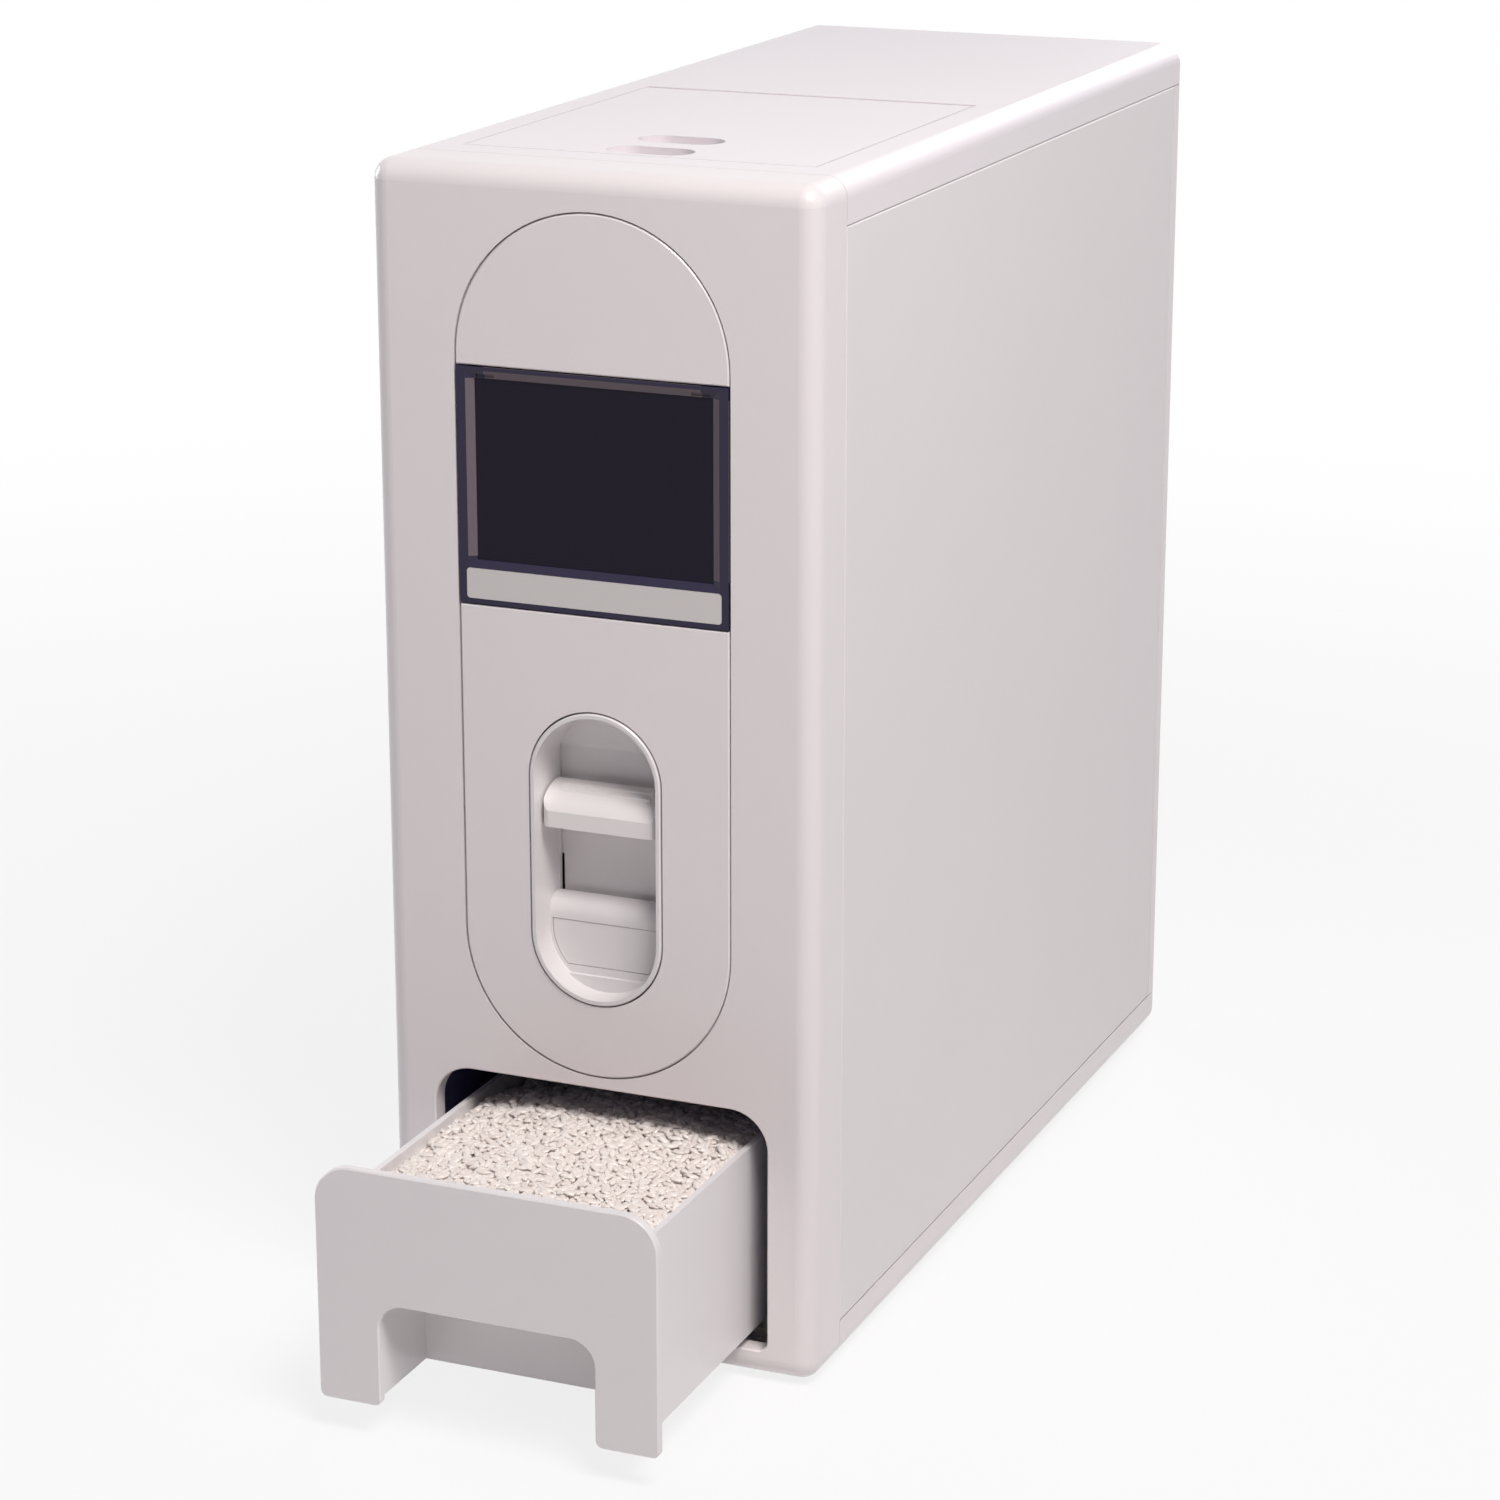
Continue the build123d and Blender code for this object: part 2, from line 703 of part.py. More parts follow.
# ---------------------------------------------------------------- metering unit
def metering_drum():
    """Hollow drum with one mouth: full when the mouth is up, empty when it is down."""
    drum = rod_x(drum_r, -drum_half, drum_half, drum_y, drum_z)
    pocket_half = drum_half - drum_wall
    drum -= rod_x(drum_r - drum_wall, -pocket_half, pocket_half, drum_y, drum_z)
    reach = 2 * drum_r * math.tan(math.radians(pocket_half_angle))
    mouth = polygon([(drum_y, drum_z), (drum_y - reach, drum_z + 2 * drum_r),
                     (drum_y + reach, drum_z + 2 * drum_r)])
    drum -= along_x(mouth, -pocket_half, pocket_half)
    return drum - rod_x(shaft_r, -far, far, drum_y, drum_z)


def drum_shaft():
    return rod_x(shaft_r, -end_plate_x - 6, pinion_x + gear_width + 1, drum_y, drum_z)


def involute_point(base_r, turn, offset):
    """A point of an involute flank, unrolled by an angle from the base circle."""
    reach = base_r * turn
    angle = offset + turn
    return (base_r * math.cos(angle) + reach * math.sin(angle),
            base_r * math.sin(angle) - reach * math.cos(angle))


def pinion_outline():
    """(Y, Z) outline of the pinion, one tooth space facing the rack."""
    pressure = math.radians(pressure_angle)
    base_r = pitch_r * math.cos(pressure)
    root_r = pitch_r - 1.25 * gear_module
    tip_r = pitch_r + gear_module
    tip_turn = math.sqrt((tip_r / base_r) ** 2 - 1)
    half_tooth = math.pi / (2 * pinion_teeth) - backlash / (4 * pitch_r)
    half_base = half_tooth + math.tan(pressure) - pressure
    points = []
    for tooth in range(pinion_teeth):
        # half a pitch off the rack's direction, so that a space meets the rack's tooth
        centre = math.pi + (tooth + 0.5) * 2 * math.pi / pinion_teeth
        start = centre - half_base
        points.append((root_r * math.cos(start), root_r * math.sin(start)))
        rising = [involute_point(base_r, tip_turn * step / flank_steps, start)
                  for step in range(flank_steps + 1)]
        points += rising
        for y, z in reversed(rising):
            radius, angle = math.hypot(y, z), math.atan2(z, y)
            points.append((radius * math.cos(2 * centre - angle),
                           radius * math.sin(2 * centre - angle)))
        end = centre + half_base
        points.append((root_r * math.cos(end), root_r * math.sin(end)))
    return Pos(drum_y, drum_z) * polygon(points)


def drive_pinion():
    gear = along_x(pinion_outline(), pinion_x, pinion_x + gear_width)
    return gear - rod_x(shaft_r, 0, far, drum_y, drum_z)


def barrel_outline():
    """(Y, Z) outline of the housing: eight flats that just clear the round bore."""
    return cut_rect(drum_y - housing_r, drum_y + housing_r, drum_z - housing_r,
                    drum_z + housing_r, housing_r)


def metering_housing():
    bore_r = drum_r + drum_gap
    duct = throat_half_y + housing_wall
    housing = along_x(barrel_outline(), -end_plate_x, end_plate_x)
    housing += block(-end_plate_x, end_plate_x, drum_y - duct, drum_y + duct,
                     housing_low_z, housing_top_z)
    rim_y = throat_half_y + housing_wall + flange_margin
    rim_x = throat_half_x + flange_margin
    housing += block(-rim_x, rim_x, drum_y - rim_y, drum_y + rim_y,
                     housing_top_z - flange, housing_top_z)
    housing -= rod_x(bore_r, -far, far, drum_y, drum_z) & block(
        -end_plate_x, end_plate_x, 0, far, 0, far)
    return housing - block(-throat_half_x, throat_half_x, drum_y - throat_half_y,
                           drum_y + throat_half_y, 0, far)


def end_plate():
    """The right-hand cheek that closes the drum's bore, with the shaft's bearing."""
    x0, x1 = end_plate_x, end_plate_x + housing_wall
    plate = along_x(barrel_outline(), x0, x1)
    plate += block(x0, x1, drum_y - throat_half_y, drum_y + throat_half_y,
                   housing_low_z, drum_z)
    return plate - rod_x(shaft_r + shaft_clearance, 0, far, drum_y, drum_z)


def wiper_strips():
    """Rubber strips at the throat's front and back edges, just off the drum."""
    strips = []
    for side in (-1, 1):
        outer = drum_y + side * throat_half_y
        inner = outer - side * 1.6
        strip = block(-throat_half_x, throat_half_x, min(outer, inner), max(outer, inner),
                      drum_z, housing_top_z - 3)
        strips.append(strip - rod_x(drum_r + 0.3, -far, far, drum_y, drum_z))
    return strips


def throat_ring(z0, z1, margin_x=flange_margin, margin_y=housing_wall + flange_margin):
    """A flat frame round the throat."""
    half_x = throat_half_x + margin_x
    half_y = throat_half_y + margin_y
    ring = cut_rect(-half_x, half_x, drum_y - half_y, drum_y + half_y, flange_margin)
    ring -= rect(-throat_half_x, throat_half_x, drum_y - throat_half_y,
                 drum_y + throat_half_y)
    return along_z(ring, z0, z1)


def discharge_chute():
    """Spout under the drum, through the deck and down to just above the drawer."""
    half_x = throat_half_x + spout_wall
    half_y = throat_half_y + spout_wall
    spout = cut_rect(-half_x, half_x, drum_y - half_y, drum_y + half_y, spout_wall)
    chute = along_z(spout, drawer_rim_z + spout_clearance, housing_low_z)
    chute -= block(-throat_half_x, throat_half_x, drum_y - throat_half_y,
                   drum_y + throat_half_y, 0, far)
    return chute + throat_ring(deck_top_z, housing_low_z)


keep("metering_drum", metering_drum())
keep("drum_shaft", drum_shaft())
keep("drive_pinion", drive_pinion())
keep("metering_housing", metering_housing())
right_plate, left_plate = both_sides(end_plate())
keep("right_end_plate", right_plate)
keep("left_end_plate", left_plate)
keep("wiper_strips", *wiper_strips())
keep("throat_gasket", throat_ring(housing_top_z, hopper_low_z))
keep("discharge_chute", discharge_chute())


# ---------------------------------------------------------------- hopper
def hopper_form(inset, low_z, high_z):
    """Where a side profile and a front profile overlap: walls, brow, floor and throat."""
    front = hopper_front + inset
    back = hopper_back - inset
    neck = drum_y - throat_half_y - hopper_wall + inset
    tail = drum_y + throat_half_y + hopper_wall - inset
    brow = hopper_brow_z + inset * (math.sqrt(2) - 1)
    lift = inset * math.sqrt(1 + floor_slope ** 2)
    floor_z = hopper_low_z + floor_step - floor_slope * inset + lift
    side = polygon([(front, high_z), (front, brow), (neck, brow - (neck - front)),
                    (neck, low_z), (tail, low_z), (tail, floor_z),
                    (back, floor_z + floor_slope * (back - tail)), (back, high_z)])
    half = hopper_half - inset
    throat = throat_half_x + hopper_wall - inset
    shoulder = hopper_low_z + 2.5 + inset / 2
    front_view = polygon([(-half, high_z), (-half, shoulder + side_rise), (-throat, shoulder),
                          (-throat, low_z), (throat, low_z), (throat, shoulder),
                          (half, shoulder + side_rise), (half, high_z)])
    plan = rect(-half, half, front, back, hopper_corner_r - inset)
    return along_x(side, -far, far) & along_y(front_view, -far, far) & along_z(plan, 0, far)


def hopper():
    tank = hopper_form(0.0, hopper_low_z, hopper_rim_z)
    tank += throat_ring(hopper_low_z, hopper_low_z + flange)
    tank -= hopper_form(hopper_wall, hopper_low_z - 1, hopper_rim_z + 1)
    return tank - along_y(lens_outline(-1.6), 0, hopper_front + 2 * hopper_wall)


def floor_height(y):
    """Underside of the hopper's sloping floor."""
    tail = drum_y + throat_half_y + hopper_wall
    return hopper_low_z + floor_step + floor_slope * (y - tail)


def hopper_support():
    """Upright frame under the hopper's floor, standing on the deck, with one crossbar."""
    y0 = bay_length - support_foot
    y1 = y0 + support_thickness
    half = hopper_half - 15
    plate = polygon([(y0, deck_top_z), (y1, deck_top_z),
                     (y1, floor_height(y1) - support_gap), (y0, floor_height(y0) - support_gap)])
    frame = along_x(plate, -half, half)
    frame += block(-half, half, y0 - 8, y0 + 8, deck_top_z, deck_top_z + deck_thickness)
    low = deck_top_z + support_rail
    high = floor_height(y0) - support_rail
    middle = (low + high) / 2
    side = half - support_rail
    for z0, z1 in ((low, middle - support_rail / 2), (middle + support_rail / 2, high)):
        frame -= block(-side, side, y0 - 1, y1 + 1, z0, z1)
    return frame


keep("hopper", hopper())
keep("hopper_support", hopper_support())


# ---------------------------------------------------------------- drawer bay
def bay_deck():
    """Roof and cheeks of the drawer bay, which carry the metering unit and the hopper."""
    front = opening_reveal + 0.3
    outer = bay_half + deck_thickness
    deck = block(-outer, outer, front, bay_length, inner_low_z, deck_top_z)
    deck -= block(-bay_half, bay_half, 0, far, 0, deck_low_z)
    spout_x = throat_half_x + 2.3
    spout_y = throat_half_y + 2.3
    return deck - block(-spout_x, spout_x, drum_y - spout_y, drum_y + spout_y,
                        0, far)


def runner():
    """The right-hand rail under the drawer, with an upright side guide."""
    top = drawer_low_z - runner_gap
    inner = drawer_half - 5
    face = drawer_half + runner_side_gap
    outline = rect(inner - 4, face + 2, inner_low_z, inner_low_z + 2)
    outline += rect(inner, face + 2, inner_low_z, top)
    outline += rect(face, face + 2, inner_low_z, top + 9)
    return along_y(outline, side_start + 4, bay_length - 6)


def drawer_stop():
    """Bracket across the bay's back end that the closed drawer's buffers meet."""
    y0 = drawer_length + buffer_length + 0.3
    high = drawer_low_z + 28
    bracket = block(-stop_half, stop_half, y0, y0 + deck_thickness, inner_low_z, high)
    return bracket + block(-stop_half, stop_half, y0, y0 + 14, inner_low_z,
                           inner_low_z + deck_thickness)


def drawer_buffers():
    y0 = drawer_length + 0.3
    z = drawer_low_z + 20
    return [block(x - buffer_half, x + buffer_half, y0, y0 + buffer_length,
                  z - buffer_half, z + buffer_half) for x in (-30, 30)]


keep("bay_deck", bay_deck())
right_rail, left_rail = both_sides(runner())
keep("right_runner", right_rail)
keep("left_runner", left_rail)
keep("drawer_stop", drawer_stop())
keep("drawer_buffers", *drawer_buffers())


# ---------------------------------------------------------------- drawer
def front_outline():
    """The drawer front seen from the user: rounded shoulders and a finger notch below."""
    half = opening_half - front_clearance
    outline = rect(-half, half, front_low_z, front_high_z)
    outline = fillet(outline.vertices().group_by(Axis.Y)[-1], front_top_r)
    notch = rect(-notch_half, notch_half, front_low_z - 20, front_low_z + notch_high)
    notch = fillet(notch.vertices().group_by(Axis.Y)[-1], notch_r)
    outline -= notch
    return fillet(outline.vertices().group_by(Axis.Y)[0], front_low_r)


def drawer_front():
    y0 = drawer_front_y
    plate = along_y(front_outline(), y0, y0 + front_thickness)
    front = plate.faces().sort_by(Axis.Y)[0]
    return chamfer(front.edges(), front_edge)


def drawer_box():
    """Open box with the finger pocket let into its front end."""
    y0 = drawer_front_y + front_thickness
    y1 = drawer_back_y
    roof_z = front_low_z + notch_high
    outline = rect(-drawer_half, drawer_half, y0 - 20, y1, drawer_corner_r)
    outline &= rect(-far, far, y0, far)
    box = along_z(outline, drawer_low_z, drawer_rim_z)
    inner = drawer_half - drawer_wall
    hollow = rect(-inner, inner, y0 + drawer_wall, y1 - drawer_wall,
                  drawer_corner_r - drawer_wall)
    box -= along_z(hollow, drawer_low_z + drawer_wall, far)
    pocket_y = drawer_front_y + pocket_depth
    hood_half = notch_half + drawer_wall
    box += block(-hood_half, hood_half, y0, pocket_y + drawer_wall, drawer_low_z,
                 roof_z + drawer_wall)
    return box - block(-notch_half, notch_half, y0 - 1, pocket_y, 0, roof_z)


keep("drawer_front", drawer_front())
keep("drawer_box", drawer_box())


# ---------------------------------------------------------------- lid
def finger_outline(y):
    return Pos(0, y) * SlotOverall(finger_length, finger_width)


def lid():
    """Flush lid with a round hinge edge, two finger wells and a sealing skirt."""
    low = height - wall
    plate = block(-lid_half, lid_half, lid_front_y, hinge_y, low, height)
    plate += rod_x(hinge_r, -lid_half, lid_half, hinge_y, hinge_z)
    skirt_half = lid_half - ledge_reach - 0.2
    skirt_front = lid_front_y + ledge_front_reach + 2.2
    skirt_back = hinge_y - 8
    ring = rect(-skirt_half, skirt_half, skirt_front, skirt_back)
    ring -= rect(-skirt_half + skirt, skirt_half - skirt, skirt_front + skirt,
                 skirt_back - skirt)
    plate += along_z(ring, low - skirt_drop, low)
    # one boss round both finger wells
    well_low = height - finger_depth
    boss_half = finger_length / 2 + finger_wall
    boss_reach = finger_width / 2 + finger_wall
    plate += block(-boss_half, boss_half, finger_first_y - boss_reach,
                   finger_first_y + finger_pitch + boss_reach, well_low - finger_wall, low)
    for y in (finger_first_y, finger_first_y + finger_pitch):
        well = along_z(finger_outline(y), well_low, height + 1)
        plate -= chamfer(well.faces().sort_by(Axis.Z)[0].edges(), finger_cove)
    for side in (-1, 1):
        x0, x1 = sorted((side * (lid_half - pin_grip), side * (lid_half + 1)))
        plate -= rod_x(pin_r, x0, x1, hinge_y, hinge_z)
    return plate


def lid_gasket():
    """Seal along the lid's front and sides, resting on the cover's ledge."""
    low = height - wall - lid_seal
    half = lid_half - 0.3
    front = lid_front_y + 0.2
    strip = ledge_reach - 0.8
    seal = block(-half, half, front, hinge_y - 5.5, low, height - wall)
    return seal - block(-half + strip, half - strip, front + 1.2, far, 0, far)


def hinge_pins():
    pin = rod_x(pin_r, lid_half - pin_grip, lid_half + lid_gap + 2.4, hinge_y, hinge_z)
    return both_sides(pin)


keep("lid", lid())
keep("lid_gasket", lid_gasket())
keep("lid_hinge_pins", *hinge_pins())

# ---------------------------------------------------------------- files
os.makedirs("parts", exist_ok=True)
for name, piece in pieces.items():
    export_step(piece, f"parts/{name}.step")
print(len(pieces), "pieces; pinion turns",
      round(math.degrees(lever_travel / pitch_r), 2), "degrees a stroke")
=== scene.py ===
# Rice dispenser with a press lever, a window and a drawer of rice.
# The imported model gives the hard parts; this script adds the rice, the spring's wire, the
# back screws, the finishes, the light and the photograph's camera.
import math
import random

import bmesh
import bpy
import numpy as np
from mathutils import Euler, Matrix, Vector


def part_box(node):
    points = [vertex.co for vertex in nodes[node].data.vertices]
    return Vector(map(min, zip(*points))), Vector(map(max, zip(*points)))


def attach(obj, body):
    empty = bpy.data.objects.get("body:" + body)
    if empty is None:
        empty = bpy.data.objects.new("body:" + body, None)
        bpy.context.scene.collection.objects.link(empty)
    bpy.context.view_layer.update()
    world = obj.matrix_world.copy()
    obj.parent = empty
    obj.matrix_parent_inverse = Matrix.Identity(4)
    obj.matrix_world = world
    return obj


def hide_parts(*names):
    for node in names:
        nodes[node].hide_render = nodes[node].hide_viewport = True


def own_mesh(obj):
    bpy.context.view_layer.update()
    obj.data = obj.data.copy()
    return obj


mm = 0.001
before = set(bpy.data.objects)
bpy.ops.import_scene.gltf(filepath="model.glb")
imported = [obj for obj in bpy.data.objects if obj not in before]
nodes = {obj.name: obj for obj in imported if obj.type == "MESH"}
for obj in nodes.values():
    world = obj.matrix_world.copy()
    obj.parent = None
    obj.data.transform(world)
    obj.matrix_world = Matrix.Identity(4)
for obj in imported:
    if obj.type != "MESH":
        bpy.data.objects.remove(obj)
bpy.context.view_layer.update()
print("frame loaded:", len(nodes), "nodes")


# ---- small tools
def linear(hexText):
    # an sRGB hex colour as linear RGBA
    channels = [int(hexText[i:i + 2], 16) / 255 for i in (1, 3, 5)]
    return [c / 12.92 if c <= 0.04045 else ((c + 0.055) / 1.055) ** 2.4 for c in channels] + [1.0]


def addNode(tree, kind, settings=None, inputs=None):
    node = tree.nodes.new(kind)
    for name, value in (settings or {}).items():
        setattr(node, name, value)
    feed(tree, node, inputs or {})
    return node


def feed(tree, node, inputs):
    # link the sockets among the inputs, and set the plain values
    for name, value in inputs.items():
        if isinstance(value, bpy.types.NodeSocket):
            tree.links.new(value, node.inputs[name])
        else:
            node.inputs[name].default_value = value


def newMaterial(name):
    material = bpy.data.materials.new(name)
    material.use_nodes = True
    tree = material.node_tree
    tree.nodes.clear()
    shader = addNode(tree, "ShaderNodeBsdfPrincipled")
    addNode(tree, "ShaderNodeOutputMaterial", inputs={"Surface": shader.outputs["BSDF"]})
    place = addNode(tree, "ShaderNodeTexCoord").outputs["Object"]
    return material, tree, shader, place


def makeObject(name, bm, material):
    mesh = bpy.data.meshes.new(name)
    bm.to_mesh(mesh)
    bm.free()
    mesh.materials.append(material)
    made = bpy.data.objects.new(name, mesh)
    bpy.context.scene.collection.objects.link(made)
    return made


def makePiece(name, bm, material, body):
    piece = makeObject(name, bm, material)
    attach(piece, body)
    return piece


def smooth(bm):
    for face in bm.faces:
        face.smooth = True


def dress(names, material):
    for name in names:
        for slot in nodes[name].material_slots:
            slot.material = material


# ---- camera, at the photograph's viewpoint
photoView = {
    "placeM": (0.5645, -1.3638, 0.6251),
    "look": (-0.3696, 0.8829, -0.2896),
    "lensMm": 100.35,
    "sensorMm": 36.0,
    "nearM": 0.05, "farM": 60.0,
}


def placeCamera(view):
    data = bpy.data.cameras.new("photoCamera")
    data.lens = view["lensMm"]
    data.sensor_width = view["sensorMm"]
    data.clip_start = view["nearM"]
    data.clip_end = view["farM"]
    camera = bpy.data.objects.new("photoCamera", data)
    camera.location = view["placeM"]
    camera.rotation_euler = Vector(view["look"]).to_track_quat("-Z", "Y").to_euler()
    bpy.context.scene.collection.objects.link(camera)
    bpy.context.scene.camera = camera


placeCamera(photoView)
print("camera placed")


# ---- finishes
# Injection-moulded ABS from a polished tool: white, faintly warm, with a soft wide highlight.
absCabinet = {
    "name": "absPolishedMoulding",
    "colour": "#e9e3e3", "shade": "#e5dfdf",
    "roughness": 0.30, "roughnessSpread": 0.012,
    "cloudMm": 90.0,      # slow drift of tone over a large moulding
    "grainMm": 1.1,       # real flow ripple is finer: drawn this coarse to show
    "grainHeightMm": 0.006, "grainStrength": 0.6,
    "handledMm": 70.0,    # patches that handling leaves a little shinier than the rest
    "ior": 1.53, "coat": 0.12, "coatRoughness": 0.12,
}
# The same resin from a vapour-honed tool: a duller, even sheen on the big flat sides.
absSide = dict(absCabinet, name="absHonedMoulding", colour="#e8e4e4", shade="#e4e0e0",
               roughness=0.40, coat=0.0, grainHeightMm=0.009)
absPanel = dict(absCabinet, name="absFacePanelMoulding", colour="#e8e2e2", shade="#e5dfdf",
                roughness=0.33)
# Cover and lid: the same white with a cooler tint than the front, a painted tint for the cool
# light that falls on the top.
absCoverPaintedCool = dict(absCabinet, name="absCoverPaintedCoolMoulding", colour="#e9e3e6", shade="#e6e0e3",
                roughness=0.34)
# The drawer's moulding has less pink in it than the cabinet.
absDrawer = dict(absCabinet, name="absDrawerMoulding", colour="#ebe8e8", shade="#e7e4e4",
                 roughness=0.34, coat=0.05)
absLever = dict(absCabinet, name="absLeverMoulding", colour="#eae6e4", shade="#e6e2e0",
                roughness=0.28)
absBezel = dict(absCabinet, name="absBezelMoulding", colour="#e4e0e0", shade="#e0dcdc",
                roughness=0.33)
absStrip = dict(absCabinet, name="absStripMoulding", colour="#d3cfcd", shade="#cdc9c7",
                roughness=0.36, coat=0.0, grainHeightMm=0.004)
# Drawer bay and stop: a dark navy-violet that is painted shade, standing in for the shade deep in
# the bay; a fine grain that stays matt.
paintedShadeBay = dict(absCabinet, name="bayPaintedShadeMoulding", colour="#55527c", shade="#4d4a70",
              roughness=0.55, coat=0.0, grainMm=0.9, grainHeightMm=0.02)
# Grey polypropylene of the metering housing and the lever's guide: waxy, low shine.
polypropylene = dict(absCabinet, name="polypropyleneMoulding", colour="#b9babb",
                     shade="#b1b2b4", roughness=0.48, coat=0.0, ior=1.49)
# Acetal of drum, pinion and runners: whiter and slicker than polypropylene.
acetal = dict(absCabinet, name="acetalMoulding", colour="#e6e3d9", shade="#e0ddd2",
              roughness=0.36, coat=0.0, ior=1.48)
# Silicone and rubber: dull, with no coat.
silicone = dict(absCabinet, name="siliconeMoulding", colour="#d4d5d0", shade="#cbccc7",
                roughness=0.6, coat=0.0, ior=1.41)
rubber = dict(absCabinet, name="rubberMoulding", colour="#59595b", shade="#4f4f52",
              roughness=0.75, coat=0.0, ior=1.52, grainHeightMm=0.02)


def mouldedPlastic(look):
    material, tree, shader, place = newMaterial(look["name"])
    cloud = addNode(tree, "ShaderNodeTexNoise", inputs={
        "Vector": place, "Scale": 1 / (look["cloudMm"] * mm), "Detail": 3.0})
    tone = addNode(tree, "ShaderNodeMix", {"data_type": "RGBA"}, {
        "Factor": cloud.outputs["Fac"], 6: linear(look["colour"]), 7: linear(look["shade"])})
    grain = addNode(tree, "ShaderNodeTexNoise", inputs={
        "Vector": place, "Scale": 1 / (look["grainMm"] * mm), "Detail": 2.0})
    relief = addNode(tree, "ShaderNodeBump", inputs={
        "Height": grain.outputs["Fac"], "Strength": look["grainStrength"],
        "Distance": look["grainHeightMm"] * mm})
    handled = addNode(tree, "ShaderNodeTexNoise", inputs={
        "Vector": place, "Scale": 1 / (look["handledMm"] * mm), "Detail": 3.0})
    shine = addNode(tree, "ShaderNodeMapRange", inputs={
        "Value": handled.outputs["Fac"], "From Min": 0.3, "From Max": 0.7,
        "To Min": look["roughness"] - look["roughnessSpread"],
        "To Max": look["roughness"] + look["roughnessSpread"]})
    feed(tree, shader, {
        "Base Color": tone.outputs[2], "Roughness": shine.outputs["Result"],
        "Normal": relief.outputs["Normal"], "IOR": look["ior"],
        "Coat Weight": look["coat"], "Coat Roughness": look["coatRoughness"]})
    return material


# Smoke-tinted polycarbonate, polished: almost black with a violet cast, mirror-smooth.
smokeWindow = {
    "name": "polycarbonateSmoke",
    "tint": "#241c36", "roughness": 0.08, "ior": 1.28,
    "through": 0.5, "specular": 0.25,
    "dustMm": 0.8,        # dust specks, drawn coarser than they are
    "dustRoughness": 0.08,
}


def smokePane(look):
    material, tree, shader, place = newMaterial(look["name"])
    dust = addNode(tree, "ShaderNodeTexNoise", inputs={
        "Vector": place, "Scale": 1 / (look["dustMm"] * mm), "Detail": 2.0})
    haze = addNode(tree, "ShaderNodeMapRange", inputs={
        "Value": dust.outputs["Fac"], "From Min": 0.45, "From Max": 0.75,
        "To Min": look["roughness"], "To Max": look["roughness"] + look["dustRoughness"]})
    feed(tree, shader, {
        "Roughness": haze.outputs["Result"], "Base Color": linear(look["tint"]),
        "Transmission Weight": look["through"], "Specular IOR Level": look["specular"],
        "IOR": look["ior"]})
    return material


# Dark ABS of the window's frame: polished navy border, and a honed bevel at the top and the
# sides, lighter than the border by a painted highlight. Its foot and the two clips in its top
# corners stay navy.
windowBorder = {
    "name": "absSmokeFrame",
    # the bevel's pale tone is a painted highlight, standing in for the light the bevel catches
    "flat": "#2c2740", "bevel": "#6a5f66",
    "frontMm": 0.05,      # the bevel lies deeper than the border's front
    "footMm": 2.9,        # navy above the foot of the lens
    "clipInMm": 3.4, "clipLongMm": 6.4, "clipHighMm": 0.8, "clipDownMm": 3.3,
    "roughness": 0.22, "bevelRoughness": 0.5,
    "ior": 1.45, "specular": 0.3,
}


def borderPlastic(look):
    material, tree, shader, place = newMaterial(look["name"])
    low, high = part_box("window_frame")
    where = addNode(tree, "ShaderNodeSeparateXYZ", inputs={"Vector": place})
    aside = addNode(tree, "ShaderNodeMath", {"operation": "ABSOLUTE"}, {0: where.outputs["X"]})
    clipOut = high.x - look["clipInMm"] * mm
    clipTop = high.z - look["clipDownMm"] * mm
    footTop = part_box("window_lens")[0].z + look["footMm"] * mm

    def above(value, bound):
        return addNode(tree, "ShaderNodeMath", {"operation": "GREATER_THAN"},
                       {0: value, 1: bound}).outputs["Value"]

    def both(one, other):
        return addNode(tree, "ShaderNodeMath", {"operation": "MULTIPLY"},
                       {0: one, 1: other}).outputs["Value"]

    inCorner = both(above(aside.outputs["Value"], clipOut - look["clipLongMm"] * mm),
                    above(where.outputs["Z"], clipTop - look["clipHighMm"] * mm))
    pale = addNode(tree, "ShaderNodeMath", {"operation": "SUBTRACT", "use_clamp": True},
                   {0: above(where.outputs["Z"], footTop), 1: inCorner}).outputs["Value"]
    honedBevelAndPaintedHighlight = both(pale, above(where.outputs["Y"], low.y + look["frontMm"] * mm))
    # the bevel's lighter colour is a painted highlight; its higher roughness is the real honed
    # finish
    tone = addNode(tree, "ShaderNodeMix", {"data_type": "RGBA"}, {
        "Factor": honedBevelAndPaintedHighlight, 6: linear(look["flat"]), 7: linear(look["bevel"])})
    shine = addNode(tree, "ShaderNodeMix", inputs={
        "Factor": honedBevelAndPaintedHighlight, 2: look["roughness"], 3: look["bevelRoughness"]})
    feed(tree, shader, {
        "Base Color": tone.outputs[2], "Roughness": shine.outputs[0], "IOR": look["ior"],
        "Specular IOR Level": look["specular"]})
    return material


# Translucent polypropylene of the hopper: milky, lets some light through its wall.
milkyHopper = {
    "name": "polypropyleneMilky",
    "colour": "#d9dde0", "through": 0.25, "ior": 1.49,
    "roughness": 0.42, "spread": 0.06,
    "rippleMm": 14.0, "rippleHeightMm": 0.05, "rippleStrength": 0.3,
}


def milkyPlastic(look):
    material, tree, shader, place = newMaterial(look["name"])
    ripple = addNode(tree, "ShaderNodeTexNoise", inputs={
        "Vector": place, "Scale": 1 / (look["rippleMm"] * mm), "Detail": 1.0})
    relief = addNode(tree, "ShaderNodeBump", inputs={
        "Height": ripple.outputs["Fac"], "Strength": look["rippleStrength"],
        "Distance": look["rippleHeightMm"] * mm})
    shine = addNode(tree, "ShaderNodeMapRange", inputs={
        "Value": ripple.outputs["Fac"], "To Min": look["roughness"] - look["spread"],
        "To Max": look["roughness"] + look["spread"]})
    feed(tree, shader, {
        "Normal": relief.outputs["Normal"], "Roughness": shine.outputs["Result"],
        "Base Color": linear(look["colour"]), "Transmission Weight": look["through"],
        "IOR": look["ior"]})
    return material


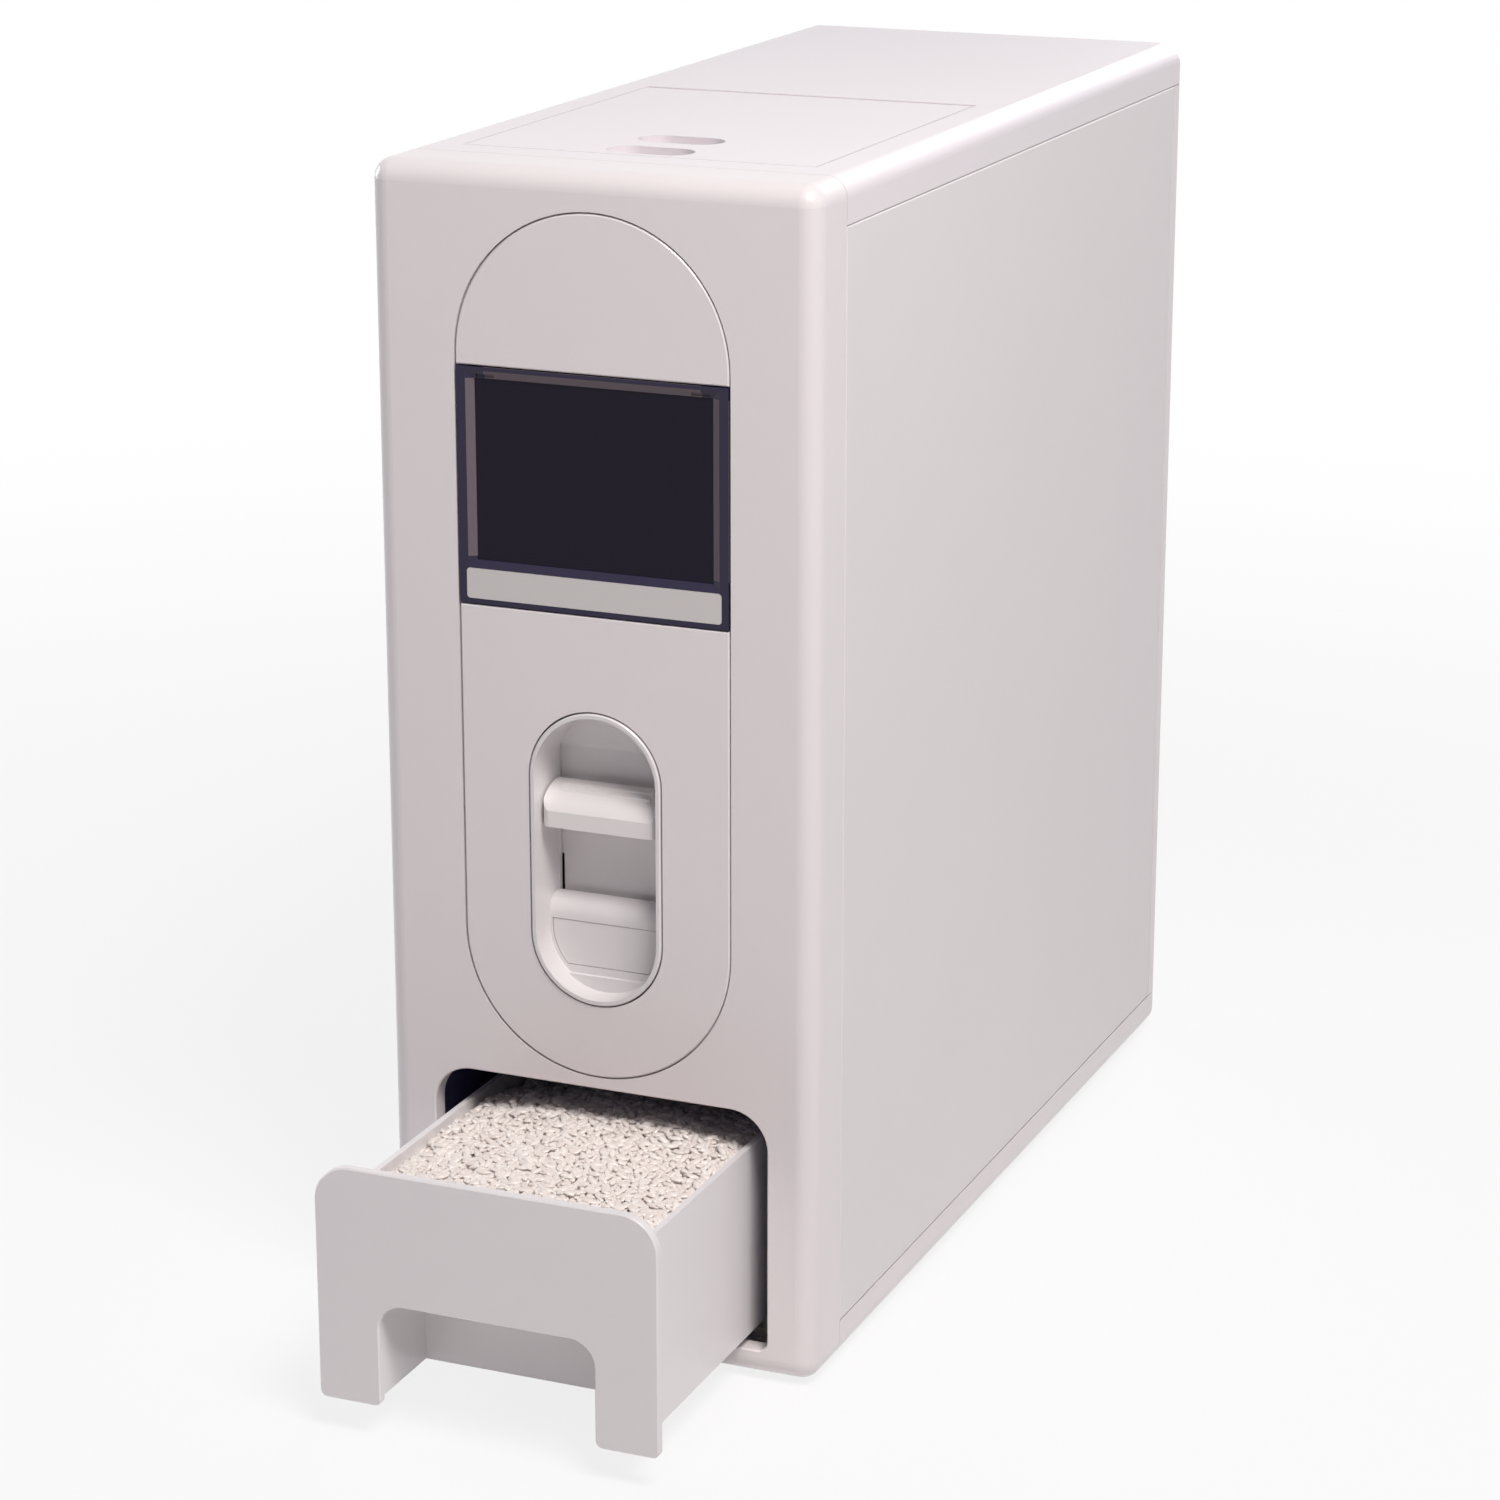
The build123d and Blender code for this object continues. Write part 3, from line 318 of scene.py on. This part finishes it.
# Drawn spring wire, and zinc-plated screws, pins and shaft: grey metal, finely marked.
springWire = {"name": "steelSpringWire", "colour": "#a9a7a4", "roughness": 0.28,
              "markMm": 0.5, "spread": 0.1}
zincScrew = {"name": "steelZincPlated", "colour": "#b3b4b6", "roughness": 0.36,
             "markMm": 0.7, "spread": 0.12}


def wornMetal(look):
    material, tree, shader, place = newMaterial(look["name"])
    marks = addNode(tree, "ShaderNodeTexNoise", inputs={
        "Vector": place, "Scale": 1 / (look["markMm"] * mm), "Detail": 3.0})
    shine = addNode(tree, "ShaderNodeMapRange", inputs={
        "Value": marks.outputs["Fac"], "To Min": look["roughness"] - look["spread"],
        "To Max": look["roughness"] + look["spread"]})
    feed(tree, shader, {"Roughness": shine.outputs["Result"],
                        "Base Color": linear(look["colour"]), "Metallic": 1.0})
    return material


dress(["front_fascia", "base_tray", "back_panel"], mouldedPlastic(absCabinet))
# cover and lid carry the painted cool tint of the light on the top
dress(["top_cover", "lid"], mouldedPlastic(absCoverPaintedCool))
dress(["left_side_panel", "right_side_panel"], mouldedPlastic(absSide))
dress(["upper_face_panel", "lower_face_panel"], mouldedPlastic(absPanel))
dress(["drawer_front", "drawer_box"], mouldedPlastic(absDrawer))
dress(["lever_knob"], mouldedPlastic(absLever))
dress(["lever_bezel", "label_plate", "lever_slide"], mouldedPlastic(absBezel))
dress(["window_strip"], mouldedPlastic(absStrip))
# the bay deck and the stop get the painted shade colour
dress(["bay_deck", "drawer_stop"], mouldedPlastic(paintedShadeBay))
dress(["lever_guide", "metering_housing", "right_end_plate", "left_end_plate",
       "discharge_chute", "hopper_support"], mouldedPlastic(polypropylene))
dress(["metering_drum", "drive_pinion", "left_runner", "right_runner"], mouldedPlastic(acetal))
dress(["lid_gasket", "throat_gasket", "wiper_strips"], mouldedPlastic(silicone))
dress(["rubber_feet", "drawer_buffers", "window_gasket"], mouldedPlastic(rubber))
dress(["hopper"], milkyPlastic(milkyHopper))
dress(["window_lens"], smokePane(smokeWindow))
dress(["window_frame"], borderPlastic(windowBorder))
zinc = wornMetal(zincScrew)
dress(["lid_hinge_pins", "drum_shaft"], zinc)
print("finishes made")


# ---- rice in the drawer
riceLook = {
    "name": "ricePolishedKernels",
    "pale": "#f4eee8", "glassy": "#e6dcd6",
    "roughness": 0.22, "roughnessSpread": 0.12,
    "streakMm": 0.9, "streakShare": 0.3,
    "ior": 1.5,
    "scatter": 0.2, "scatterMm": 1.0, "scatterTone": (1.0, 0.95, 0.90),
    "softening": 0.36,    # light creeps through a kernel and evens out its shading
    "brightSide": (0.12, -0.12, 1.0),     # where the evened shading turns to
}
riceFill = {
    "lengthMm": 4.8, "widthMm": 2.45, "thickMm": 1.8,
    "sizes": (0.86, 1.08),
    "kernelSides": 6, "kernelRings": 5,
    "tipShare": 0.08,     # how much the tips are drawn out
    "kernels": 12000,
    "rolls": 3,           # spots that a kernel tries, to end in the lowest
    "edgeShare": 0.8,     # of half its length, kept between its middle and the walls
    "perch": 0.42,        # share of its half thickness that a kernel lies above its rest
    "steepest": 0.7, "pitchSpread": 0.15, "rollSpread": 0.24,
    "tones": (2, 3.2),    # shape of the spread between pale and glassy kernels
    "cellMm": 0.5,        # of the height map
    "bedMm": 3.2,         # the bed under the top kernels, over the ground
    "bedCells": (36, 66), "bedTone": 0.4,
    "bedFootMm": 38.0,    # above the hood of the finger pocket
    "boxWallMm": 2.2, "wallGapMm": 0.4,
    "levelBelowRimMm": 4.4, "topLayerMm": 2.5,
    "heapMm": 4.0, "heapFall": 0.6,       # how much higher it stands in the middle
    "rippleMm": 1.2,
    "longWavesMm": (11, 14), "longWaveStart": 1.3, "longWaveShare": 0.5,
    "shortWavesMm": (9, 7), "shortWaveShare": 0.25,       # both across and along the drawer
    "dipMm": 5.0, "dipFromMm": 92.0, "dipOverMm": 30.0,   # lower again under the cabinet
    "seed": 11,
    "slot": "seal_white",
}


def kernelFinish(look):
    # each kernel has its own tone: chalky ones pale, clear ones darker and glassier
    material, tree, shader, place = newMaterial(look["name"])
    tone = addNode(tree, "ShaderNodeAttribute", {"attribute_name": "kernelTone"}).outputs["Fac"]
    streak = addNode(tree, "ShaderNodeTexNoise", inputs={
        "Vector": place, "Scale": 1 / (look["streakMm"] * mm), "Detail": 2.0})
    mottled = addNode(tree, "ShaderNodeMath", {"operation": "MULTIPLY_ADD"}, {
        0: streak.outputs["Fac"], 1: look["streakShare"], 2: tone})
    colour = addNode(tree, "ShaderNodeMix", {"data_type": "RGBA"}, {
        "Factor": mottled.outputs["Value"], 6: linear(look["pale"]), 7: linear(look["glassy"])})
    shine = addNode(tree, "ShaderNodeMapRange", inputs={
        "Value": tone, "To Min": look["roughness"] + look["roughnessSpread"],
        "To Max": look["roughness"] - look["roughnessSpread"]})
    facing = addNode(tree, "ShaderNodeNewGeometry").outputs["Normal"]
    evened = addNode(tree, "ShaderNodeMix", {"data_type": "VECTOR"}, {
        "Factor": look["softening"], 4: facing, 5: look["brightSide"]})
    upright = addNode(tree, "ShaderNodeVectorMath", {"operation": "NORMALIZE"},
                      {0: evened.outputs[1]})
    feed(tree, shader, {
        "Normal": upright.outputs["Vector"], "Base Color": colour.outputs[2],
        "Roughness": shine.outputs["Result"], "IOR": look["ior"],
        "Subsurface Weight": look["scatter"], "Subsurface Radius": look["scatterTone"],
        "Subsurface Scale": look["scatterMm"] * mm})
    return material


def riceGround(fill, low, high):
    # height of the rice before its top kernels: a low heap with gentle ripples, which
    # dips behind the opening, where the last kernels have slid forward
    longX, longY = fill["longWavesMm"]
    shortX, shortY = fill["shortWavesMm"]

    def height(x, y):
        u = (x - low.x) / (high.x - low.x) * 2 - 1
        v = (y - low.y) / (high.y - low.y) * 2 - 1
        heap = (1 - u * u) * (1 - fill["heapFall"] * v * v)
        ripple = (math.sin(x / (longX * mm) + fill["longWaveStart"])
                  * math.cos(y / (longY * mm)) * fill["longWaveShare"])
        ripple += math.sin(y / (shortY * mm) + x / (shortX * mm)) * fill["shortWaveShare"]
        inward = ((y - low.y) / mm - fill["dipFromMm"]) / fill["dipOverMm"]
        dip = fill["dipMm"] * max(0.0, min(1.0, inward))
        return high.z + (heap * fill["heapMm"] + ripple * fill["rippleMm"] - dip) * mm
    return height


def settleKernels(fill, low, high, ground):
    # drop kernels one by one on a height map, each lying on what is already there
    dice = random.Random(fill["seed"])
    cell = fill["cellMm"] * mm
    columns = int((high.x - low.x) / cell) + 1
    rows = int((high.y - low.y) / cell) + 1
    heights = np.zeros((columns, rows))
    for i in range(columns):
        for j in range(rows):
            heights[i, j] = ground(low.x + i * cell, low.y + j * cell)
    half = Vector((fill["lengthMm"], fill["widthMm"], fill["thickMm"])) * mm / 2

    def spotAt(x, y, yaw, reach, side):
        # the cells that a kernel would cover here, and how far they stand over the ground
        i, j = int((x - low.x) / cell), int((y - low.y) / cell)
        span = int(reach / cell) + 1
        area = (slice(max(i - span, 0), min(i + span + 1, columns)),
                slice(max(j - span, 0), min(j + span + 1, rows)))
        gridX = (np.arange(area[0].start, area[0].stop) * cell + low.x - x)[:, None]
        gridY = (np.arange(area[1].start, area[1].stop) * cell + low.y - y)[None, :]
        lengthwise = gridX * math.cos(yaw) + gridY * math.sin(yaw)
        across = gridY * math.cos(yaw) - gridX * math.sin(yaw)
        inside = (lengthwise / reach) ** 2 + (across / side) ** 2
        rest = heights[area][inside < 1].mean()
        return rest - ground(x, y), rest, x, y, yaw, area, lengthwise, inside

    placements = []
    for _ in range(fill["kernels"]):
        size = dice.uniform(*fill["sizes"])
        reach = half.x * size
        margin = reach * fill["edgeShare"]
        spots = [spotAt(dice.uniform(low.x + margin, high.x - margin),
                        dice.uniform(low.y + margin, high.y - margin),
                        dice.uniform(0, math.pi), reach, half.y * size)
                 for _ in range(fill["rolls"])]
        _, rest, x, y, yaw, area, lengthwise, inside = min(spots, key=lambda spot: spot[0])
        patch = heights[area]
        under = inside < 1
        reached, beneath = lengthwise[under], patch[under]
        slope = (reached * (beneath - rest)).sum() / max((reached ** 2).sum(), cell ** 2)
        slope = max(-fill["steepest"], min(fill["steepest"], slope))
        pitch = math.atan(slope) + dice.gauss(0, fill["pitchSpread"])
        lift = rest + half.z * size * fill["perch"]
        dome = (lift + lengthwise * math.tan(pitch)
                + half.z * size * np.sqrt(np.clip(1 - inside, 0, 1)))
        heights[area] = np.where(under, np.maximum(patch, dome), patch)
        turn = Euler((dice.gauss(0, fill["rollSpread"]), -pitch, yaw), "XYZ")
        placements.append(Matrix.LocRotScale(Vector((x, y, lift)), turn, half * size))
    return placements


def oneKernel(fill):
    bm = bmesh.new()
    bmesh.ops.create_uvsphere(bm, u_segments=fill["kernelSides"],
                              v_segments=fill["kernelRings"], radius=1,
                              matrix=Matrix.Rotation(math.pi / 2, 4, "Y"))
    for corner in bm.verts:
        atTip = abs(corner.co.x) > 0.95
        corner.co.x *= 1.0 + fill["tipShare"] * atTip
    mesh = bpy.data.meshes.new("kernel")
    bm.to_mesh(mesh)
    bm.free()
    return mesh


def toneKernels(piece, tones):
    attribute = piece.data.attributes.new("kernelTone", "FLOAT", "POINT")
    attribute.data.foreach_set("value", tones.astype(np.float32))


def pourRice(name, placements, fill, material):
    # one kernel is doubled until there are enough, and each copy is laid in its place
    kernel = oneKernel(fill)
    bm = bmesh.new()
    bm.from_mesh(kernel)
    bpy.data.meshes.remove(kernel)
    corners, edges, faces = len(bm.verts), len(bm.edges), len(bm.faces)
    made = 1
    while made < len(placements):
        more = min(made, len(placements) - made)
        for sequence in (bm.verts, bm.edges, bm.faces):
            sequence.ensure_lookup_table()
        bmesh.ops.duplicate(bm, geom=(bm.verts[:more * corners] + bm.edges[:more * edges]
                                      + bm.faces[:more * faces]))
        made += more
    smooth(bm)
    piece = makePiece(name, bm, material, "drawer")
    points = np.empty(made * corners * 3, np.float32)
    piece.data.vertices.foreach_get("co", points)
    places = np.array([[list(row) for row in place] for place in placements])
    points = np.einsum("kij,kcj->kci", places[:, :3, :3], points.reshape(made, corners, 3))
    points += places[:, None, :3, 3]
    piece.data.vertices.foreach_set("co", points.astype(np.float32).ravel())
    piece.data.update()
    dice = random.Random(made)
    toneKernels(piece, np.repeat([dice.betavariate(*fill["tones"]) for _ in placements],
                                 corners))


def riceBed(fill, low, high, ground, foot, material):
    # what lies under the top kernels
    bm = bmesh.new()
    bmesh.ops.create_grid(bm, x_segments=fill["bedCells"][0], y_segments=fill["bedCells"][1],
                          size=0.5)
    bmesh.ops.scale(bm, vec=(high.x - low.x, high.y - low.y, 1), verts=bm.verts)
    middle = (low + high) / 2
    bmesh.ops.translate(bm, vec=(middle.x, middle.y, 0), verts=bm.verts)
    for corner in bm.verts:
        corner.co.z = ground(corner.co.x, corner.co.y) + fill["bedMm"] * mm
    rim = [edge for edge in bm.edges if edge.is_boundary]
    skirt = bmesh.ops.extrude_edge_only(bm, edges=rim)["geom"]
    lowest = [item for item in skirt if isinstance(item, bmesh.types.BMVert)]
    for corner in lowest:
        corner.co.z = foot
    bmesh.ops.contextual_create(bm, geom=[e for e in bm.edges if e.is_boundary])
    bmesh.ops.recalc_face_normals(bm, faces=bm.faces)
    smooth(bm)
    piece = makePiece("riceBed", bm, material, "drawer")
    toneKernels(piece, np.full(len(piece.data.vertices), fill["bedTone"]))


def fillDrawer(fill):
    boxLow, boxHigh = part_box("drawer_box")
    gap = (fill["boxWallMm"] + fill["wallGapMm"]) * mm
    low = Vector((boxLow.x + gap, boxLow.y + gap, 0))
    level = boxHigh.z - fill["levelBelowRimMm"] * mm - fill["topLayerMm"] * mm
    high = Vector((boxHigh.x - gap, boxHigh.y - gap, level))
    ground = riceGround(fill, low, high)
    finish = kernelFinish(riceLook)
    riceBed(fill, low, high, ground, boxLow.z + fill["bedFootMm"] * mm, finish)
    placements = settleKernels(fill, low, high, ground)
    placements.sort(key=lambda place: place.translation.y)
    share = math.ceil(len(placements) / 3)
    for third, name in enumerate(("riceFront", "riceMiddle", "riceRear")):
        pourRice(name, placements[third * share:(third + 1) * share], fill, finish)
    print("rice poured:", len(placements), "kernels")


fillDrawer(riceFill)

# ---- return spring, wound from wire with closed end turns
springWind = {
    "coilMm": 3.8, "wireMm": 0.9,
    "turns": 7.0,
    "closedTurns": 1.25, "closedPitch": 1.04,     # in wire thicknesses
    "stepsPerTurn": 24, "wireSides": 10,
}


def windSpring(wind):
    low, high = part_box("return_spring")
    centre = Vector(((low.x + high.x) / 2, (low.y + high.y) / 2, 0))
    wire = wind["wireMm"] * mm
    coil = wind["coilMm"] * mm
    bm = bmesh.new()
    start = Matrix.Translation(centre + Vector((coil, 0, low.z + wire / 2)))
    bmesh.ops.create_circle(bm, cap_ends=False, segments=wind["wireSides"], radius=wire / 2,
                            matrix=start @ Matrix.Rotation(math.pi / 2, 4, "X"))
    ring = list(bm.edges)
    closedRise = wire * wind["closedPitch"] * wind["closedTurns"]
    openRise = (high.z - low.z) - wire - 2 * closedRise
    stretches = [(wind["closedTurns"], closedRise), (wind["turns"], openRise),
                 (wind["closedTurns"], closedRise)]
    bmesh.ops.contextual_create(bm, geom=ring)
    for turns, rise in stretches:
        steps = round(turns * wind["stepsPerTurn"])
        spun = bmesh.ops.spin(bm, geom=ring, cent=centre, axis=(0, 0, 1),
                              dvec=(0, 0, rise / steps), angle=turns * math.tau, steps=steps)
        ring = [item for item in spun["geom_last"] if isinstance(item, bmesh.types.BMEdge)]
    bmesh.ops.contextual_create(bm, geom=ring)
    bmesh.ops.recalc_face_normals(bm, faces=bm.faces)
    smooth(bm)
    piece = makePiece("springCoil", bm, wornMetal(springWire), "cabinet")
    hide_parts("return_spring")
    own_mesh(piece)


windSpring(springWind)
print("spring wound")

# ---- cross-head screws that hold the back moulding
backScrews = {
    "headMm": 6.0, "heightMm": 1.1, "headSides": 24,
    "headTaper": 0.86, "rimShare": 0.5, "rimSteps": 3,
    "crossMm": 1.5, "crossWaistMm": 0.55, "crossDeepMm": 0.8,
    "crossInset": 0.3, "crossTaper": 0.7,
    "inFromSideMm": 16.0, "upFromFootMm": 36.0, "downFromTopMm": 36.0,
}


def screwHead(look, place):
    # a low dome whose crown is drawn in to a cross and sunk, for the driver
    bm = bmesh.new()
    radius, height = look["headMm"] * mm / 2, look["heightMm"] * mm
    bmesh.ops.create_cone(bm, cap_ends=True, segments=look["headSides"], radius1=radius,
                          radius2=radius * look["headTaper"], depth=height,
                          matrix=Matrix.Translation((0, 0, height / 2)))
    rim = [edge for edge in bm.edges
           if all(corner.co.z > height * 0.9 for corner in edge.verts)]
    bmesh.ops.bevel(bm, geom=rim, offset=height * look["rimShare"],
                    segments=look["rimSteps"], profile=0.5, affect="EDGES", material=-1)
    crown = max(bm.faces, key=lambda face: face.calc_center_median().z)
    bmesh.ops.inset_individual(bm, faces=[crown], thickness=radius * look["crossInset"])
    for corner in crown.verts:
        angle = math.atan2(corner.co.y, corner.co.x)
        arm = abs(math.cos(2 * angle)) > 0.6      # the corners near the cross's four arms
        reach = look["crossMm"] if arm else look["crossWaistMm"]
        corner.co.x, corner.co.y = reach * mm * math.cos(angle), reach * mm * math.sin(angle)
    pit = bmesh.ops.extrude_discrete_faces(bm, faces=[crown])["faces"][0]
    for corner in pit.verts:
        corner.co = Vector((corner.co.x * look["crossTaper"], corner.co.y * look["crossTaper"],
                            corner.co.z - look["crossDeepMm"] * mm))
    bmesh.ops.transform(bm, matrix=place, verts=bm.verts)
    return bm


def fixBack(look, finish):
    low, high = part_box("back_panel")
    for side, x in (("left", low.x + look["inFromSideMm"] * mm),
                    ("right", high.x - look["inFromSideMm"] * mm)):
        for level, z in (("Low", low.z + look["upFromFootMm"] * mm),
                         ("High", high.z - look["downFromTopMm"] * mm)):
            place = (Matrix.Translation((x, high.y, z))
                     @ Matrix.Rotation(-math.pi / 2, 4, "X"))
            makePiece(side + level + "BackScrew", screwHead(look, place), finish,
                      "cabinet")


fixBack(backScrews, zinc)
print("back screws set")

# ---- floor, world and lamps
studio = {
    "floorM": 14.0,
    "floorTone": "#e8e6e6", "floorRoughness": 0.9,
    "fibreMm": 3, "fibreHeightMm": 0.02, "fibreStrength": 0.1,
    "floorWhite": 0.82,       # share of plain white the camera sees in the lit paper
    "whiteFromM": 0.45, "allWhiteM": 1.5,
    "skyTone": "#dfe5fa", "skyStrength": 0.13,
}
lamps = [
    {"name": "keyBox", "place": (0.745, -0.745, 1.57), "aim": (0.02, -0.05, 0.25),
     "size": (0.65, 0.65), "watts": 26.8, "tone": "#fff9f7"},
    {"name": "leftFill", "place": (-2.2, 0.3, 0.7), "aim": (0, 0, 0.2),
     "size": (0.9, 0.8), "watts": 17.0, "tone": "#f8f8ff"},
    {"name": "rearFill", "place": (0.0, 2.35, 0.7), "aim": (0, 0, 0.2),
     "size": (0.9, 0.8), "watts": 17.0, "tone": "#f8f8ff"},
]


def clearRays(tree):
    # rays that show the background: the camera's, a mirror's and a glass's
    path = addNode(tree, "ShaderNodeLightPath")
    sharp = addNode(tree, "ShaderNodeMath", {"operation": "MAXIMUM"}, {
        0: path.outputs["Is Camera Ray"], 1: path.outputs["Is Glossy Ray"]})
    return addNode(tree, "ShaderNodeMath", {"operation": "MAXIMUM"}, {
        0: sharp.outputs["Value"], 1: path.outputs["Is Transmission Ray"]}).outputs["Value"]


def paperFloor(look):
    material, tree, shader, place = newMaterial("paperSweep")
    fibres = addNode(tree, "ShaderNodeTexNoise", inputs={
        "Vector": place, "Scale": 1 / (look["fibreMm"] * mm), "Detail": 2.0})
    relief = addNode(tree, "ShaderNodeBump", inputs={
        "Height": fibres.outputs["Fac"], "Strength": look["fibreStrength"],
        "Distance": look["fibreHeightMm"] * mm})
    feed(tree, shader, {
        "Normal": relief.outputs["Normal"], "Base Color": linear(look["floorTone"]),
        "Roughness": look["floorRoughness"]})
    # the paper near the object keeps its shadow, and further off it is plain white
    spread = addNode(tree, "ShaderNodeVectorMath", {"operation": "LENGTH"}, {0: place})
    share = addNode(tree, "ShaderNodeMapRange", {"interpolation_type": "SMOOTHSTEP"}, {
        "Value": spread.outputs["Value"], "From Min": look["whiteFromM"],
        "From Max": look["allWhiteM"], "To Min": look["floorWhite"], "To Max": 1.0})
    seen = addNode(tree, "ShaderNodeMath", {"operation": "MULTIPLY"}, {
        0: share.outputs["Result"], 1: clearRays(tree)})
    white = addNode(tree, "ShaderNodeEmission", inputs={"Strength": 1.0})
    mixed = addNode(tree, "ShaderNodeMixShader", inputs={
        0: seen.outputs["Value"], 1: shader.outputs["BSDF"], 2: white.outputs["Emission"]})
    output = next(node for node in tree.nodes if node.type == "OUTPUT_MATERIAL")
    tree.links.new(mixed.outputs["Shader"], output.inputs["Surface"])
    return material


def layFloor(look):
    bm = bmesh.new()
    bmesh.ops.create_grid(bm, x_segments=2, y_segments=2, size=look["floorM"] / 2)
    floor = makeObject("floor", bm, paperFloor(look))


def lightWorld(look):
    world = bpy.data.worlds.new("studioWorld")
    bpy.context.scene.world = world
    world.use_nodes = True
    tree = world.node_tree
    tree.nodes.clear()
    sky = addNode(tree, "ShaderNodeBackground", inputs={
        "Color": linear(look["skyTone"]), "Strength": look["skyStrength"]})
    white = addNode(tree, "ShaderNodeBackground", inputs={
        "Color": (1, 1, 1, 1), "Strength": 1.0})
    mixed = addNode(tree, "ShaderNodeMixShader", inputs={
        0: clearRays(tree), 1: sky.outputs["Background"], 2: white.outputs["Background"]})
    addNode(tree, "ShaderNodeOutputWorld", inputs={"Surface": mixed.outputs["Shader"]})


def hangLamp(lamp):
    data = bpy.data.lights.new(lamp["name"], "AREA")
    data.shape = "RECTANGLE"
    data.size, data.size_y = lamp["size"]
    data.energy = lamp["watts"]
    data.color = linear(lamp["tone"])[:3]
    light = bpy.data.objects.new(lamp["name"], data)
    light.location = lamp["place"]
    aim = Vector(lamp["aim"]) - Vector(lamp["place"])
    light.rotation_euler = aim.to_track_quat("-Z", "Y").to_euler()
    bpy.context.scene.collection.objects.link(light)


layFloor(studio)
lightWorld(studio)
for lamp in lamps:
    hangLamp(lamp)
bpy.context.scene.view_settings.view_transform = "Standard"
print("studio lit")
